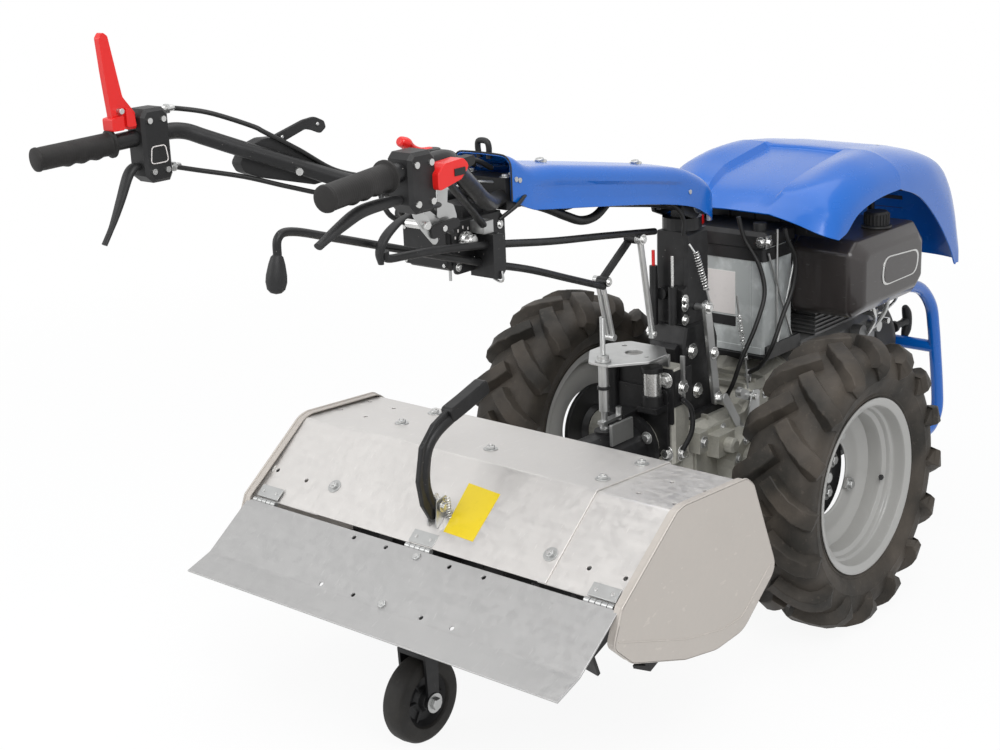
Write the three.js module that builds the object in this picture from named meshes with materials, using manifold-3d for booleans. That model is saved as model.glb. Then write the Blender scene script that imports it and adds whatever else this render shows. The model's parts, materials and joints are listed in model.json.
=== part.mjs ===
// Walking tractor with a rear rotary tiller, as a three.js scene graph.
// Millimetres. +X points forward (engine end), +Y to the operator's left, +Z up, ground at Z = 0.
// Sizes are laid out from the wheel axle; at the end the machine is centred over its own length.
import * as THREE from 'three';
import { mergeVertices } from 'three/addons/utils/BufferGeometryUtils.js';
import Module from 'manifold-3d';

const wasm = await Module();
wasm.setup();

// ---------------------------------------------------------------- driving dimensions
const GAP = 0.3; // between pieces that rest on each other

// Drive wheels: lug tyres on 12 inch rims
const TYRE_RADIUS = 278;
const TYRE_WIDTH = 145;
const WHEEL_CENTRE_Y = 320;
const RIM_RADIUS = 169; // over the rim flanges
const RIM_WIDTH = 120;
const BEAD_RADIUS = 152.5; // where the tyre sits on the rim
const SHEET = 4; // rim and cowl wall
const AXLE_TUBE_RADIUS = 38;
const HUB_END = 70; // from the wheel's centre plane in to the hub's inner face
const WHEEL_SEGMENTS = 24;

// Gearbox, clutch housing and engine
const GEARBOX_WIDTH = 160;
const GEARBOX_TOP = 375;
const GEARBOX_FRONT_TOP = 405;
const CRANK_Z = 330; // centre of the clutch housing
const CLUTCH_X = [140, 210];
const ENGINE_X = [CLUTCH_X[1] + GAP, 505];
const ENGINE_WIDTH = 240;
const ENGINE_BOTTOM = 235;
const ENGINE_TOP = 470;
const RECOIL_RADIUS = 122;
const RECOIL_DEPTH = 150;
const RECOIL_HUB = 24; // depth of the raised hub on its front
const RECOIL_Z = 380;
const TANK_X = [204, 490];
const TANK_Y = [-240, 60];
const TANK_Z = [529, 684];
const TANK_WALL = 3;
const FILLER = { x: 365, y: -188, radius: 20 };

// Engine cowl and front guard
const COWL_HALF_WIDTH = 226;
const COWL_POSTS = [-85, 85]; // across the machine
const COWL_SEAT_Z = 790; // top of the posts
const COWL_PAD_TOP = 816;
const POST_RADIUS = 8;
const GUARD_HALF_WIDTH = 170;
const GUARD_TUBE = 13.5; // radius
const HANDLE_LIFT = 27.5; // centre of the starter handle above the guard's middle tube
const GUARD_TOP = { x: 529, z: 525 }; // upper cross tube
const GUARD_MIDDLE = { x: 677, z: 353 }; // cross tube in front of the recoil starter
const GUARD_FOOT = { x: 650, z: 167 }; // lowest cross tube

// Battery
const BATTERY_X = [92, 198];
const BATTERY_WIDTH = 190;
const BATTERY_Z = [465, 680];
const LID_HEIGHT = 32;

// Hitch and depth adjustment
const HITCH = { x: [-205, -150 - GAP], halfWidth: 85, z: [320, 508] };
const SPIGOT = 24; // length of the coupling behind the hitch
const TUNNEL = { z: 352, radius: 50 }; // drive tube to the tiller
const PLATE_Z = 538; // top of the selector plate
const PLATE_SHEET = 6;
const SPINDLE_X = -307;
const SPINDLE_RADIUS = 9;

// Tiller
const TILLER_HALF_WIDTH = 425;
const HOOD_HALF_WIDTH = 267; // centre hood, up to the seams
const HOOD_SHEET = 3;
const HOOD_EDGE = { x: -475, z: 448 }; // front top edge
const HOOD_RIDGE = { x: -677, z: 460 };
const HOOD_REAR = { x: -815, z: 348 }; // lower edge, next to the flap hinge
const HOOD_FRONT = { x: -398, z: 275 };
const ROTOR = { x: -620, z: 265, radius: 166 };
const CASE_WIDTH = 60; // gear case between the two halves of the rotor
const ROTOR_BOSS = 34; // radius of the rotor's end in the gear case
const RUNNING_GAP = 0.8; // around turning shafts
const SEAT_DEPTH = 5; // of the rotor's ends in the gear case
const TINE_THICKNESS = 8;
const TINE_REACH = 0.48; // of a blade sideways, as a share of the pitch between the sets
const CLEARANCE = 5; // between tines and what they pass
const TINE_SETS = 4;
const TINES_PER_SET = 4;

// Rear flap and tail wheel
const HINGE_RADIUS = 5.5;
const HINGE = { x: -818.5, z: 343.2 }; // just behind the hood's rear edge
const FLAP_HALF_WIDTH = 416;
const TAIL_WHEEL = { x: -835, radius: 77, width: 44 };

// Handlebars
const COLUMN_TOP = 740;
const COLUMN_X = -50; // axis of the swivelling head
const TILT_Z = 790; // axis of the height adjustment
const GRIP_RADIUS = 18.5;
const BAR_RADIUS = 13;
const BAR_STEPS = 22;
const COVER_HALF_WIDTH = 62;
const COVER_BOLTS = [-470, -215]; // along the machine
const LUG_HALF = 13; // half width of the head's lug
const CHEEK = 10; // wall of the beam's two cheeks
const TURRET_TOP = 764;
const ALONG = { bracket: [-1091, -1039], rightBracket: [-1108, -1056] };
const ROD_RADIUS = 6.5;

// Cables, radius
const GEARBOX_CABLE = 4.5;
const LEFT_CABLE = 4;
const RIGHT_CABLE_RADIUS = 7;

// ---------------------------------------------------------------- materials
function finish(color, metalness, roughness) {
  return new THREE.MeshStandardMaterial({ color, metalness, roughness });
}

const BLUE = finish(0x1668d2, 0.1, 0.3);
const BLACK = finish(0x1a1a1b, 0.1, 0.5);
const RUBBER = finish(0x2b2825, 0, 0.9);
const CAST = finish(0xa9a8a0, 0.7, 0.5);
const GALVANISED = finish(0xb7b8ba, 0.8, 0.4);
const END_GREY = finish(0xb9b2a8, 0.3, 0.5);
const ZINC = finish(0xc9cdd0, 0.9, 0.3);
const RIM_SILVER = finish(0xc8cacb, 0.5, 0.4);
const TANK_BLACK = finish(0x2a2726, 0.1, 0.4);
const CASE_GREY = finish(0x8d9496, 0, 0.5);
const RED = finish(0xd81b1b, 0, 0.4);

// ---------------------------------------------------------------- geometry helpers
function signedVolume(positions, triangles) {
  const corner = (i) => new THREE.Vector3().fromArray(positions, 3 * i);
  let volume = 0;
  for (let t = 0; t < triangles.length; t += 3) {
    const [a, b, c] = [corner(triangles[t]), corner(triangles[t + 1]), corner(triangles[t + 2])];
    volume += a.dot(b.cross(c)) / 6;
  }
  return volume;
}

function toSolid(geometry) {
  const bare = geometry.clone();
  bare.deleteAttribute('normal');
  bare.deleteAttribute('uv');
  const merged = mergeVertices(bare, 1e-3);
  const positions = merged.attributes.position.array;
  const index = merged.index.array;
  const triangles = [];
  for (let i = 0; i < index.length; i += 3) {
    const [a, b, c] = [index[i], index[i + 1], index[i + 2]];
    if (a !== b && b !== c && c !== a) triangles.push(a, b, c);
  }
  if (signedVolume(positions, triangles) < 0) triangles.reverse();
  const mesh = new wasm.Mesh({
    numProp: 3,
    vertProperties: new Float32Array(positions),
    triVerts: new Uint32Array(triangles),
  });
  return new wasm.Manifold(mesh);
}

function toGeometry(solid) {
  const mesh = solid.getMesh();
  const geometry = new THREE.BufferGeometry();
  geometry.setAttribute('position', new THREE.BufferAttribute(mesh.vertProperties, 3));
  geometry.setIndex(new THREE.BufferAttribute(mesh.triVerts, 1));
  geometry.computeVertexNormals();
  return geometry;
}

function join(...geometries) {
  return toGeometry(geometries.map(toSolid).reduce((all, next) => all.add(next)));
}

function cut(geometry, ...tools) {
  return toGeometry(tools.map(toSolid).reduce((left, tool) => left.subtract(tool), toSolid(geometry)));
}

// A box from its limits on each axis.
function slab([x0, x1], [y0, y1], [z0, z1]) {
  const box = new THREE.BoxGeometry(x1 - x0, y1 - y0, z1 - z0);
  return box.translate((x0 + x1) / 2, (y0 + y1) / 2, (z0 + z1) / 2);
}

// A straight round bar between two points.
function bar(from, to, radius, sides = 16) {
  const start = new THREE.Vector3(...from);
  const run = new THREE.Vector3(...to).sub(start);
  const cylinder = new THREE.CylinderGeometry(radius, radius, run.length(), sides);
  cylinder.applyQuaternion(new THREE.Quaternion().setFromUnitVectors(
    new THREE.Vector3(0, 1, 0),
    run.clone().normalize(),
  ));
  return cylinder.translate(...start.addScaledVector(run, 0.5).toArray());
}

function shapeFrom(points) {
  return new THREE.Shape(points.map(([a, b]) => new THREE.Vector2(a, b)));
}

function circle(radius, sides) {
  const turn = (i) => (2 * Math.PI * i) / sides;
  return shapeFrom(Array.from({ length: sides }, (_, i) => [
    radius * Math.cos(turn(i)),
    radius * Math.sin(turn(i)),
  ]));
}

// A round tube or cable through points, as one smooth curve.
function tube(points, radius, steps = 24, sides = 10) {
  const path = new THREE.CatmullRomCurve3(points.map((p) => new THREE.Vector3(...p)), false, 'centripetal');
  return new THREE.ExtrudeGeometry(circle(radius, sides),
    { steps, extrudePath: path, bevelEnabled: false });
}

// A side view outline [x, z], extruded across the machine, with its side edges chamfered by `chamfer`.
function fromSide(outline, [y0, y1], chamfer = 0) {
  const geometry = new THREE.ExtrudeGeometry(shapeFrom(outline), {
    depth: y1 - y0 - 2 * chamfer,
    bevelEnabled: chamfer > 0,
    bevelThickness: chamfer,
    bevelSize: chamfer,
    bevelOffset: -chamfer,
    bevelSegments: 1,
  });
  return geometry.rotateX(Math.PI / 2).translate(0, y1 - chamfer, 0);
}

// A plan view outline [x, y], extruded upwards.
function fromAbove(outline, [z0, z1]) {
  const geometry = new THREE.ExtrudeGeometry(shapeFrom(outline), { depth: z1 - z0, bevelEnabled: false });
  return geometry.translate(0, 0, z0);
}

// A closed profile [radius, height] spun about Y, Z or X.
function spun(profile, axis, segments = 40) {
  const closed = [...profile, profile[0]].map(([r, h]) => new THREE.Vector2(r, h));
  const geometry = new THREE.LatheGeometry(closed, segments);
  if (axis === 'x') geometry.rotateZ(-Math.PI / 2);
  if (axis === 'z') geometry.rotateX(Math.PI / 2);
  return geometry;
}

// A bent line moved sideways by `distance`, to the left of its direction.
function offset(path, distance) {
  const unit = ([ax, ay], [bx, by]) => new THREE.Vector2(bx - ax, by - ay).normalize();
  return path.map((point, i) => {
    const before = i > 0 ? unit(path[i - 1], point) : unit(point, path[i + 1]);
    const after = i < path.length - 1 ? unit(point, path[i + 1]) : before;
    const mitre = before.clone().add(after).normalize();
    const reach = distance / before.dot(mitre);
    return [point[0] - mitre.y * reach, point[1] + mitre.x * reach];
  });
}

// The closed outline of a bent strip: `path` on one side, its offset on the other.
function strip(path, thickness) {
  return [...path, ...offset(path, thickness).reverse()];
}

// Height at x of a line seen from the side, whose points run in order of x.
function heightAt(path, x) {
  const next = path.findIndex(([px], i) => i > 0 && px >= x);
  const [[x0, z0], [x1, z1]] = [path[next - 1], path[next]];
  return z0 + ((x - x0) / (x1 - x0)) * (z1 - z0);
}

// A curved sheet of constant wall: rows of points on its outside, thickened inwards.
function sheet(rows, wall) {
  const across = rows[0].length;
  const outer = rows.flat().map((p) => new THREE.Vector3(...p));
  const at = (i, j) => outer[Math.min(Math.max(i, 0), rows.length - 1) * across
    + Math.min(Math.max(j, 0), across - 1)];
  const inner = [];
  for (let i = 0; i < rows.length; i += 1) {
    for (let j = 0; j < across; j += 1) {
      const along = at(i + 1, j).clone().sub(at(i - 1, j));
      const over = at(i, j + 1).clone().sub(at(i, j - 1));
      const out = along.cross(over).normalize();
      inner.push(at(i, j).clone().addScaledVector(out, -wall));
    }
  }
  const triangles = [];
  const count = outer.length;
  const quad = (a, b, c, d) => triangles.push(a, b, c, a, c, d);
  for (let i = 0; i < rows.length - 1; i += 1) {
    for (let j = 0; j < across - 1; j += 1) {
      const k = i * across + j;
      quad(k, k + across, k + across + 1, k + 1);
      quad(count + k, count + k + 1, count + k + across + 1, count + k + across);
    }
  }
  const rim = [];
  for (let j = 0; j < across; j += 1) rim.push(j);
  for (let i = 1; i < rows.length; i += 1) rim.push(i * across + across - 1);
  for (let j = across - 2; j >= 0; j -= 1) rim.push((rows.length - 1) * across + j);
  for (let i = rows.length - 2; i > 0; i -= 1) rim.push(i * across);
  rim.forEach((k, n) => {
    const next = rim[(n + 1) % rim.length];
    quad(k, next, count + next, count + k);
  });
  const geometry = new THREE.BufferGeometry();
  const points = [...outer, ...inner].flatMap((p) => p.toArray());
  geometry.setAttribute('position', new THREE.Float32BufferAttribute(points, 3));
  geometry.setIndex(triangles);
  return geometry;
}

function place(parent, name, geometry, material) {
  const mesh = new THREE.Mesh(toGeometry(toSolid(geometry)), material);
  mesh.name = name;
  parent.add(mesh);
}

function group(parent, x = 0, y = 0, z = 0) {
  const holder = new THREE.Group();
  holder.position.set(x, y, z);
  parent.add(holder);
  return holder;
}

const mirrored = (points) => points.map(([x, y, z]) => [x, -y, z]);

// ---------------------------------------------------------------- drive wheels
// Around the wheel centre; +Y of the profile points out of the machine.
function tyre() {
  const half = TYRE_WIDTH / 2;
  const bead = RIM_WIDTH / 2 - 5;
  const side = [
    [BEAD_RADIUS + GAP, bead],
    [RIM_RADIUS + 2, bead],
    [RIM_RADIUS + 20, half - 4],
    [RIM_RADIUS + 46, half],
    [TYRE_RADIUS - 28, half - 2],
    [TYRE_RADIUS - 8, half - 12],
    [TYRE_RADIUS, half - 27],
  ];
  return spun([...side, ...side.map(([r, y]) => [r, -y]).reverse()], 'y', WHEEL_SEGMENTS);
}

function rim(side) {
  const edge = RIM_WIDTH / 2;
  const well = BEAD_RADIUS - 13;
  const barrel = strip([
    [RIM_RADIUS, -edge],
    [BEAD_RADIUS - SHEET, -edge],
    [BEAD_RADIUS - SHEET, -edge + 24],
    [well - SHEET, -edge + 36],
    [well - SHEET, edge - 40],
    [BEAD_RADIUS - SHEET, edge - 28],
    [BEAD_RADIUS - SHEET, edge],
    [RIM_RADIUS, edge],
  ], -SHEET);
  const flip = (profile) => profile.map(([r, y]) => [r, side * y]);
  const disc = [
    [well - SHEET + 1, -14],
    [well - 14, -14],
    [108, -26],
    [48, -26],
    [48, -34],
    [112, -34],
    [well - 12, -22],
    [well - SHEET + 1, -22],
  ];
  const hub = [
    [0, -18],
    [24, -18],
    [28, -22],
    [28, -33],
    [64, -33],
    [64, -42],
    [42, -42],
    [36, -HUB_END],
    [0, -HUB_END],
  ];
  return join(
    spun(flip(barrel), 'y', WHEEL_SEGMENTS),
    spun(flip(disc), 'y', WHEEL_SEGMENTS),
    spun(flip(hub), 'y', 12),
  );
}

// ---------------------------------------------------------------- gearbox and engine
function gearbox() {
  const half = GEARBOX_WIDTH / 2;
  const body = fromSide([
    [-150, 250], [-70, 205], [95, 205], [CLUTCH_X[0] - GAP, 245],
    [CLUTCH_X[0] - GAP, GEARBOX_FRONT_TOP], [70, GEARBOX_FRONT_TOP], [40, GEARBOX_TOP], [-150, GEARBOX_TOP],
  ], [-half, half], 14);
  const axle = bar(
    [0, -WHEEL_CENTRE_Y + HUB_END + 0.5, TYRE_RADIUS],
    [0, WHEEL_CENTRE_Y - HUB_END - 0.5, TYRE_RADIUS],
    AXLE_TUBE_RADIUS,
    24,
  );
  const bosses = bar([0, -half - 45, TYRE_RADIUS], [0, half + 45, TYRE_RADIUS], 62, 24);
  return join(body, axle, bosses);
}

function clutchHousing() {
  const [x0, x1] = CLUTCH_X;
  const bell = spun([[0, x0], [84, x0], [92, x0 + 10], [112, x1 - 12], [118, x1 - 10], [118, x1],
    [0, x1]], 'x', 28);
  return bell.translate(0, 0, CRANK_Z);
}

function engineBlock() {
  const half = ENGINE_WIDTH / 2;
  const [x0, x1] = ENGINE_X;
  const crankcase = fromSide([
    [x0, ENGINE_BOTTOM], [x1, ENGINE_BOTTOM], [x1, ENGINE_TOP - 20], [x1 - 30, ENGINE_TOP],
    [x0, ENGINE_TOP],
  ], [-half, half], 12);
  const cylinder = slab([x0 + 50, x1 - 70], [-half + 10, half - 40], [ENGINE_TOP - 10, TANK_Z[0] - GAP]);
  return join(crankcase, cylinder);
}

function recoilHousing() {
  const x0 = ENGINE_X[1] + GAP;
  const fan = spun([
    [0, x0], [RECOIL_RADIUS, x0], [RECOIL_RADIUS, x0 + RECOIL_DEPTH - 50],
    [RECOIL_RADIUS - 14, x0 + RECOIL_DEPTH - RECOIL_HUB], [72, x0 + RECOIL_DEPTH - RECOIL_HUB],
    [62, x0 + RECOIL_DEPTH], [0, x0 + RECOIL_DEPTH],
  ], 'x', 28);
  return fan.translate(0, 0, RECOIL_Z);
}

function recoilHandle() {
  const x0 = ENGINE_X[1] + RECOIL_DEPTH - RECOIL_HUB + 2 * GAP;
  const [y, z] = [-90, GUARD_MIDDLE.z + GUARD_TUBE + HANDLE_LIFT];
  const stem = bar([x0, y, z], [x0 + 66, y, z], 9, 12);
  const grip = tube([[x0 + 52, y, z - 26], [x0 + 66, y, z - 12], [x0 + 68, y, z + 12],
    [x0 + 54, y, z + 32]], 10, 6, 8);
  return join(stem, grip);
}

// The tank's outline, drawn in by `inset` on every side.
function tankBody(inset) {
  const [x0, x1] = [TANK_X[0] + inset, TANK_X[1] - inset];
  const [y0, y1] = [TANK_Y[0] + inset, TANK_Y[1] - inset];
  const [z0, z1] = [TANK_Z[0] + inset, TANK_Z[1] - inset];
  return fromSide([
    [x0 + 12, z0], [x1 - 30, z0], [x1, z0 + 26], [x1, z1 - 26], [x1 - 26, z1],
    [x0 + 26, z1], [x0, z1 - 22], [x0, z0 + 14],
  ], [y0, y1], 22);
}

function fuelTank() {
  const { x, y, radius } = FILLER;
  const filler = bar([x, y, TANK_Z[1] - 2 * TANK_WALL], [x, y, TANK_Z[1] + TANK_WALL], radius, 20);
  return cut(tankBody(0), tankBody(TANK_WALL), filler);
}

function fuelCap() {
  const z0 = TANK_Z[1] + GAP;
  const cap = spun([
    [0, z0], [30, z0], [30, z0 + 5], [24, z0 + 6], [24, z0 + 30], [20, z0 + 34], [0, z0 + 34],
  ], 'z', 20);
  return cap.translate(FILLER.x, FILLER.y, 0);
}

function airCleaner() {
  const canister = fromSide(
    [[236, 480], [420, 480], [436, 500], [436, 640], [420, 656], [236, 656], [220, 640], [220, 500]],
    [96, 205],
    14,
  );
  const intake = bar([330, ENGINE_WIDTH / 2 - 40 + GAP, 506], [330, 110, 506], 20, 12);
  return join(canister, intake);
}

function muffler() {
  const y = ENGINE_WIDTH / 2 + 48;
  const can = spun([[0, 250], [38, 250], [46, 258], [46, 432], [38, 440], [0, 440]],
    'x', 20).translate(0, y, 405);
  const pipe = bar([320, ENGINE_WIDTH / 2 + GAP, 405], [320, y, 405], 16, 12);
  const tail = bar([430, y, 405], [478, y, 405], 13, 12);
  return join(can, pipe, tail);
}

// ---------------------------------------------------------------- engine cowl
// Half sections from the centre line to the lower side edge: [y share of half width, x, z].
function engineCowl() {
  const shares = [0, 0.37, 0.42, 0.67, 0.87, 0.97, 1];
  const sections = [
    { x: [104, 106, 106, 108, 112, 116, 118], z: [750, 748, 748, 732, 712, 700, 691] },
    { x: 132, z: [766, 764, 768, 764, 744, 718, 694] },
    { x: 165, z: [782, 780, 790, 792, 770, 740, 706] },
    { x: 225, z: [796, 794, 805, 812, 795, 768, 740] },
    { x: 300, z: [808, 806, 818, 828, 810, 786, 756] },
    { x: 385, z: [820, 818, 830, 832, 813, 788, 760] },
    { x: 405, z: [830, 829, 832, 830, 812, 787, 756] },
    { x: 480, z: [826, 826, 825, 822, 805, 774, 728] },
    { x: 560, z: [814, 814, 813, 808, 790, 748, 664] },
    { x: 620, z: [800, 800, 799, 790, 766, 696, 596] },
    { x: [662, 662, 662, 660, 655, 650, 644], z: [776, 776, 775, 764, 732, 650, 556] },
    { x: [694, 694, 694, 690, 680, 664, 652], z: [722, 722, 721, 712, 682, 612, 556] },
    { x: [706, 706, 706, 702, 690, 672, 658], z: [630, 630, 630, 628, 618, 590, 556] },
    { x: [708, 708, 708, 704, 692, 674, 662], z: [556, 556, 556, 556, 556, 556, 555] },
  ];
  const rows = sections.map(({ x, z }) => {
    const half = shares.map((share, i) => [Array.isArray(x) ? x[i] : x, -COWL_HALF_WIDTH * share, z[i]]);
    return [...half.slice(1).reverse(), half[0], ...mirrored(half.slice(1))];
  });
  const { x: padX } = GUARD_TOP;
  const pad = (y) => bar([padX, y, COWL_SEAT_Z], [padX, y, COWL_PAD_TOP], POST_RADIUS + 1, 8);
  return join(sheet(rows, SHEET), ...COWL_POSTS.map(pad));
}

// ---------------------------------------------------------------- front guard and engine cradle
function frontGuard() {
  const leg = (y) => tube([
    [GUARD_TOP.x, y, GUARD_TOP.z], [600, y, 502], [650, y, 455], [668, y, 400], [679, y, 345], [694, y, 260],
    [697, y, 205], [672, y, 172], [630, y, 166], [587, y, 188], [556, y, ENGINE_BOTTOM + 3],
  ], GUARD_TUBE, 18, 8);
  const y = GUARD_HALF_WIDTH;
  const cross = ({ x, z }) => bar([x, -y, z], [x, y, z], GUARD_TUBE, 10);
  const cradle = slab([ENGINE_X[0] + 20, 550], [-y - 8, y + 8],
    [ENGINE_BOTTOM - GAP - 12, ENGINE_BOTTOM - GAP]);
  const { x: postX, z: postZ } = GUARD_TOP;
  const post = (at) => bar([postX, at, postZ], [postX, at, COWL_SEAT_Z - GAP], POST_RADIUS, 8);
  const strap = slab([482, 500], [-22, 22], [ENGINE_TOP + GAP, 533]);
  const lug = slab([482, 535], [-22, 22], [521, 533]);
  const crossTubes = [GUARD_TOP, GUARD_MIDDLE, GUARD_FOOT].map(cross);
  return join(leg(-y), leg(y), ...crossTubes, ...COWL_POSTS.map(post), cradle, strap, lug);
}

// ---------------------------------------------------------------- battery
function batteryTray() {
  const half = BATTERY_WIDTH / 2 + 12;
  const [x0, x1] = [BATTERY_X[0] - 10, BATTERY_X[1] + 8];
  const top = BATTERY_Z[0] - GAP;
  const foot = slab([x0 + 20, x1], [-40, 40], [CRANK_Z + 104, top]);
  const tray = slab([x0, x1], [-half, half], [top - 6, top]);
  const lip = (y) => slab([x0, x1], [y - 2, y + 2], [top - 6, top + 22]);
  const housing = bar([x0 - 10, 0, CRANK_Z], [x1 + 20, 0, CRANK_Z], 118 + GAP, 28);
  return cut(join(foot, tray, lip(-half + 2), lip(half - 2)), housing);
}

function batteryCase() {
  const half = BATTERY_WIDTH / 2;
  const [x0, x1] = BATTERY_X;
  return fromAbove([
    [x0, -half + 8], [x0 + 8, -half], [x1 - 8, -half], [x1, -half + 8],
    [x1, half - 8], [x1 - 8, half], [x0 + 8, half], [x0, half - 8],
  ], BATTERY_Z);
}

function batteryLid() {
  const half = BATTERY_WIDTH / 2 + 4;
  const [x0, x1] = [BATTERY_X[0] - 4, BATTERY_X[1] + 4];
  const z0 = BATTERY_Z[1] + GAP;
  const lid = fromSide([[x0, z0], [x1, z0], [x1, z0 + LID_HEIGHT - 8], [x1 - 8, z0 + LID_HEIGHT],
    [x0 + 8, z0 + LID_HEIGHT], [x0, z0 + LID_HEIGHT - 8]], [-half, half], 6);
  const post = (y) => bar([x0 + 22, y, z0 + LID_HEIGHT - 10], [x0 + 22, y, z0 + LID_HEIGHT + 14], 9, 12);
  return join(lid, post(-half + 26), post(half - 26));
}

// Clutch and gear cables between the cowl and the gearbox levers.
const CLUTCH_CABLE = [
  [72, -48, 744], [76, -60, 700], [84, -88, 650], [78, -104, 596], [48, -104, 540], [18, -92, 480],
  [7, -78, 428], [8, -62, 396], [8, -62, GEARBOX_TOP + 2 * GAP],
];
const GEAR_CABLE = [
  [112, -128, 722], [118, -130, 700], [146, -131, 655], [140, -130, 600], [104, -128, 545], [76, -122, 490],
  [78, -96, 448], [88, -60, 424], [88, -60, GEARBOX_FRONT_TOP + 2 * GAP],
];

function cable(points, radius) {
  return tube(points, radius, 16, 8);
}

// ---------------------------------------------------------------- column and selector levers
function column() {
  const z0 = GEARBOX_TOP + GAP;
  const foot = slab([-118, 20], [-56, 56], [z0, z0 + 12]);
  const lower = fromSide([[-108, z0 + 6], [8, z0 + 6], [8, 520], [-8, 560], [-98, 560], [-108, 520]],
    [-42, 42], 4);
  const upper = fromSide([[-92, 540], [-10, 540], [-12, COLUMN_TOP], [-88, COLUMN_TOP]], [-36, 36], 6);
  return join(foot, lower, upper);
}

function leverBar() {
  const y = -64;
  const upper = fromSide(strip([[-60, 655], [-38, 360]], 22), [y - 4, y + 4]);
  const lower = fromSide(strip([[-34, 366], [56, 266]], 20), [y - 8, y]);
  const pin = bar([-38, y, 600], [-38, -36 - GAP, 600], 7, 12);
  return cut(
    join(upper, lower, pin),
    slab([-160, CLUTCH_X[0]], [-GEARBOX_WIDTH / 2 - GAP, 0], [200, GEARBOX_FRONT_TOP + GAP]),
    slab([-120, 22], [-56 - GAP, 56], [GEARBOX_TOP, GEARBOX_TOP + 13]),
  );
}

// ---------------------------------------------------------------- hitch and tiller drive
function hitchBox() {
  const { x, halfWidth, z } = HITCH;
  const casting = fromSide([
    [x[0], z[0]], [x[1], z[0]], [x[1], z[1] - 20], [x[1] - 10, z[1]], [x[0] + 10, z[1]], [x[0], z[1] - 20],
  ], [-halfWidth, halfWidth], 6);
  const spigot = bar([x[0] - SPIGOT, 0, TUNNEL.z], [x[0] + 4, 0, TUNNEL.z], TUNNEL.radius + 6, 24);
  return join(casting, spigot);
}

function selectorPlate() {
  const { x, z } = HITCH;
  const plate = fromAbove([
    [SPINDLE_X - 16, -22], [-262, -72], [-206, -72], [-168, -40], [-168, 40], [-206, 66], [-262, 66],
    [SPINDLE_X - 16, 22],
  ], [PLATE_Z - PLATE_SHEET, PLATE_Z]);
  const leg = slab([x[0] + 12, x[0] + 18], [-40, 40], [z[1] + GAP, PLATE_Z - 2]);
  const slot = bar([-232, -12, PLATE_Z - 20], [-232, -12, PLATE_Z + 20], 13, 14);
  const hole = bar([SPINDLE_X, 0, PLATE_Z - 20], [SPINDLE_X, 0, PLATE_Z + 20], SPINDLE_RADIUS + GAP, 16);
  return cut(join(plate, leg), slot, hole);
}

function depthSpindle() {
  const foot = TUNNEL.z + TUNNEL.radius + 4 + GAP;
  const screw = bar([SPINDLE_X, 0, foot], [SPINDLE_X, 0, 624], SPINDLE_RADIUS, 16);
  const collar = bar([SPINDLE_X, 0, PLATE_Z + GAP], [SPINDLE_X, 0, PLATE_Z + 14], 15, 12);
  const sleeve = bar([SPINDLE_X, 0, foot + 36], [SPINDLE_X, 0, PLATE_Z - PLATE_SHEET - GAP], 14, 16);
  const wing = slab([SPINDLE_X - 12, SPINDLE_X + 42], [-8, 8], [foot + 10, foot + 20]);
  return join(screw, collar, sleeve, wing);
}

const HOOD_PATH = [HOOD_REAR, HOOD_RIDGE, HOOD_EDGE, HOOD_FRONT].map(({ x, z }) => [x, z]);

// Height just below the hood's top sheet, and just below its rear slope.
const underHood = (x) => heightAt(offset(HOOD_PATH, -HOOD_SHEET - GAP), x);

function tillerGearcase() {
  const half = CASE_WIDTH / 2;
  const seatOfRotor = (y0, y1) => bar(
    [ROTOR.x, y0, ROTOR.z],
    [ROTOR.x, y1, ROTOR.z],
    ROTOR_BOSS + RUNNING_GAP,
    20,
  );
  const start = HITCH.x[0] - SPIGOT - GAP;
  const tunnel = bar([start, 0, TUNNEL.z], [-430, 0, TUNNEL.z], TUNNEL.radius, 24);
  const flange = bar([start, 0, TUNNEL.z], [start - 14, 0, TUNNEL.z], TUNNEL.radius + 18, 24);
  const armTop = (x) => [x, underHood(x) - 12];
  const arm = fromSide([
    [-400, 320], [-430, 392], [HOOD_EDGE.x - 10, 428], armTop(-560), armTop(-640), [-676, 400], [-684, 300],
    [-690, 262], [-676, 220], [-645, 196], [-595, 196], [-560, 230], [-470, 312],
  ], [-half, half], 6);
  const saddleBottom = ROTOR.z + ROTOR.radius + CLEARANCE + 1;
  const saddle = fromSide([
    [-660, saddleBottom], [-660, underHood(-660)], [-600, underHood(-600)], [-600, saddleBottom],
  ], [-50, 50]);
  const seat = bar([SPINDLE_X, 0, TUNNEL.z], [SPINDLE_X, 0, TUNNEL.z + TUNNEL.radius + 4], 20, 16);
  return cut(
    join(tunnel, flange, arm, saddle, seat),
    seatOfRotor(-half - 30, -half + SEAT_DEPTH),
    seatOfRotor(half - SEAT_DEPTH, half + 30),
  );
}

// ---------------------------------------------------------------- tiller hood
function tillerHood() {
  const skin = fromSide(strip(HOOD_PATH, -HOOD_SHEET), [-HOOD_HALF_WIDTH, HOOD_HALF_WIDTH]);
  const driveSlot = slab([-480, -380], [-72, 72], [200, 424]);
  return cut(skin, driveSlot);
}

function hoodExtension(side) {
  const inner = HOOD_HALF_WIDTH - 18;
  const outer = TILLER_HALF_WIDTH - HOOD_SHEET - GAP;
  const span = side > 0 ? [inner, outer] : [-outer, -inner];
  return fromSide(strip(offset(HOOD_PATH, -HOOD_SHEET - GAP), -HOOD_SHEET), span);
}

function endPlate(side) {
  const outer = TILLER_HALF_WIDTH;
  const span = side > 0 ? [outer - HOOD_SHEET, outer] : [-outer, -outer + HOOD_SHEET];
  return fromSide([
    [-824, 350], [-680, 458], [-660, 462], [-485, 452], [-464, 436], [-394, 266], [-495, 189],
    [-574, 185], [-661, 202], [-802, 252], [-848, 293],
  ], span);
}

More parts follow.
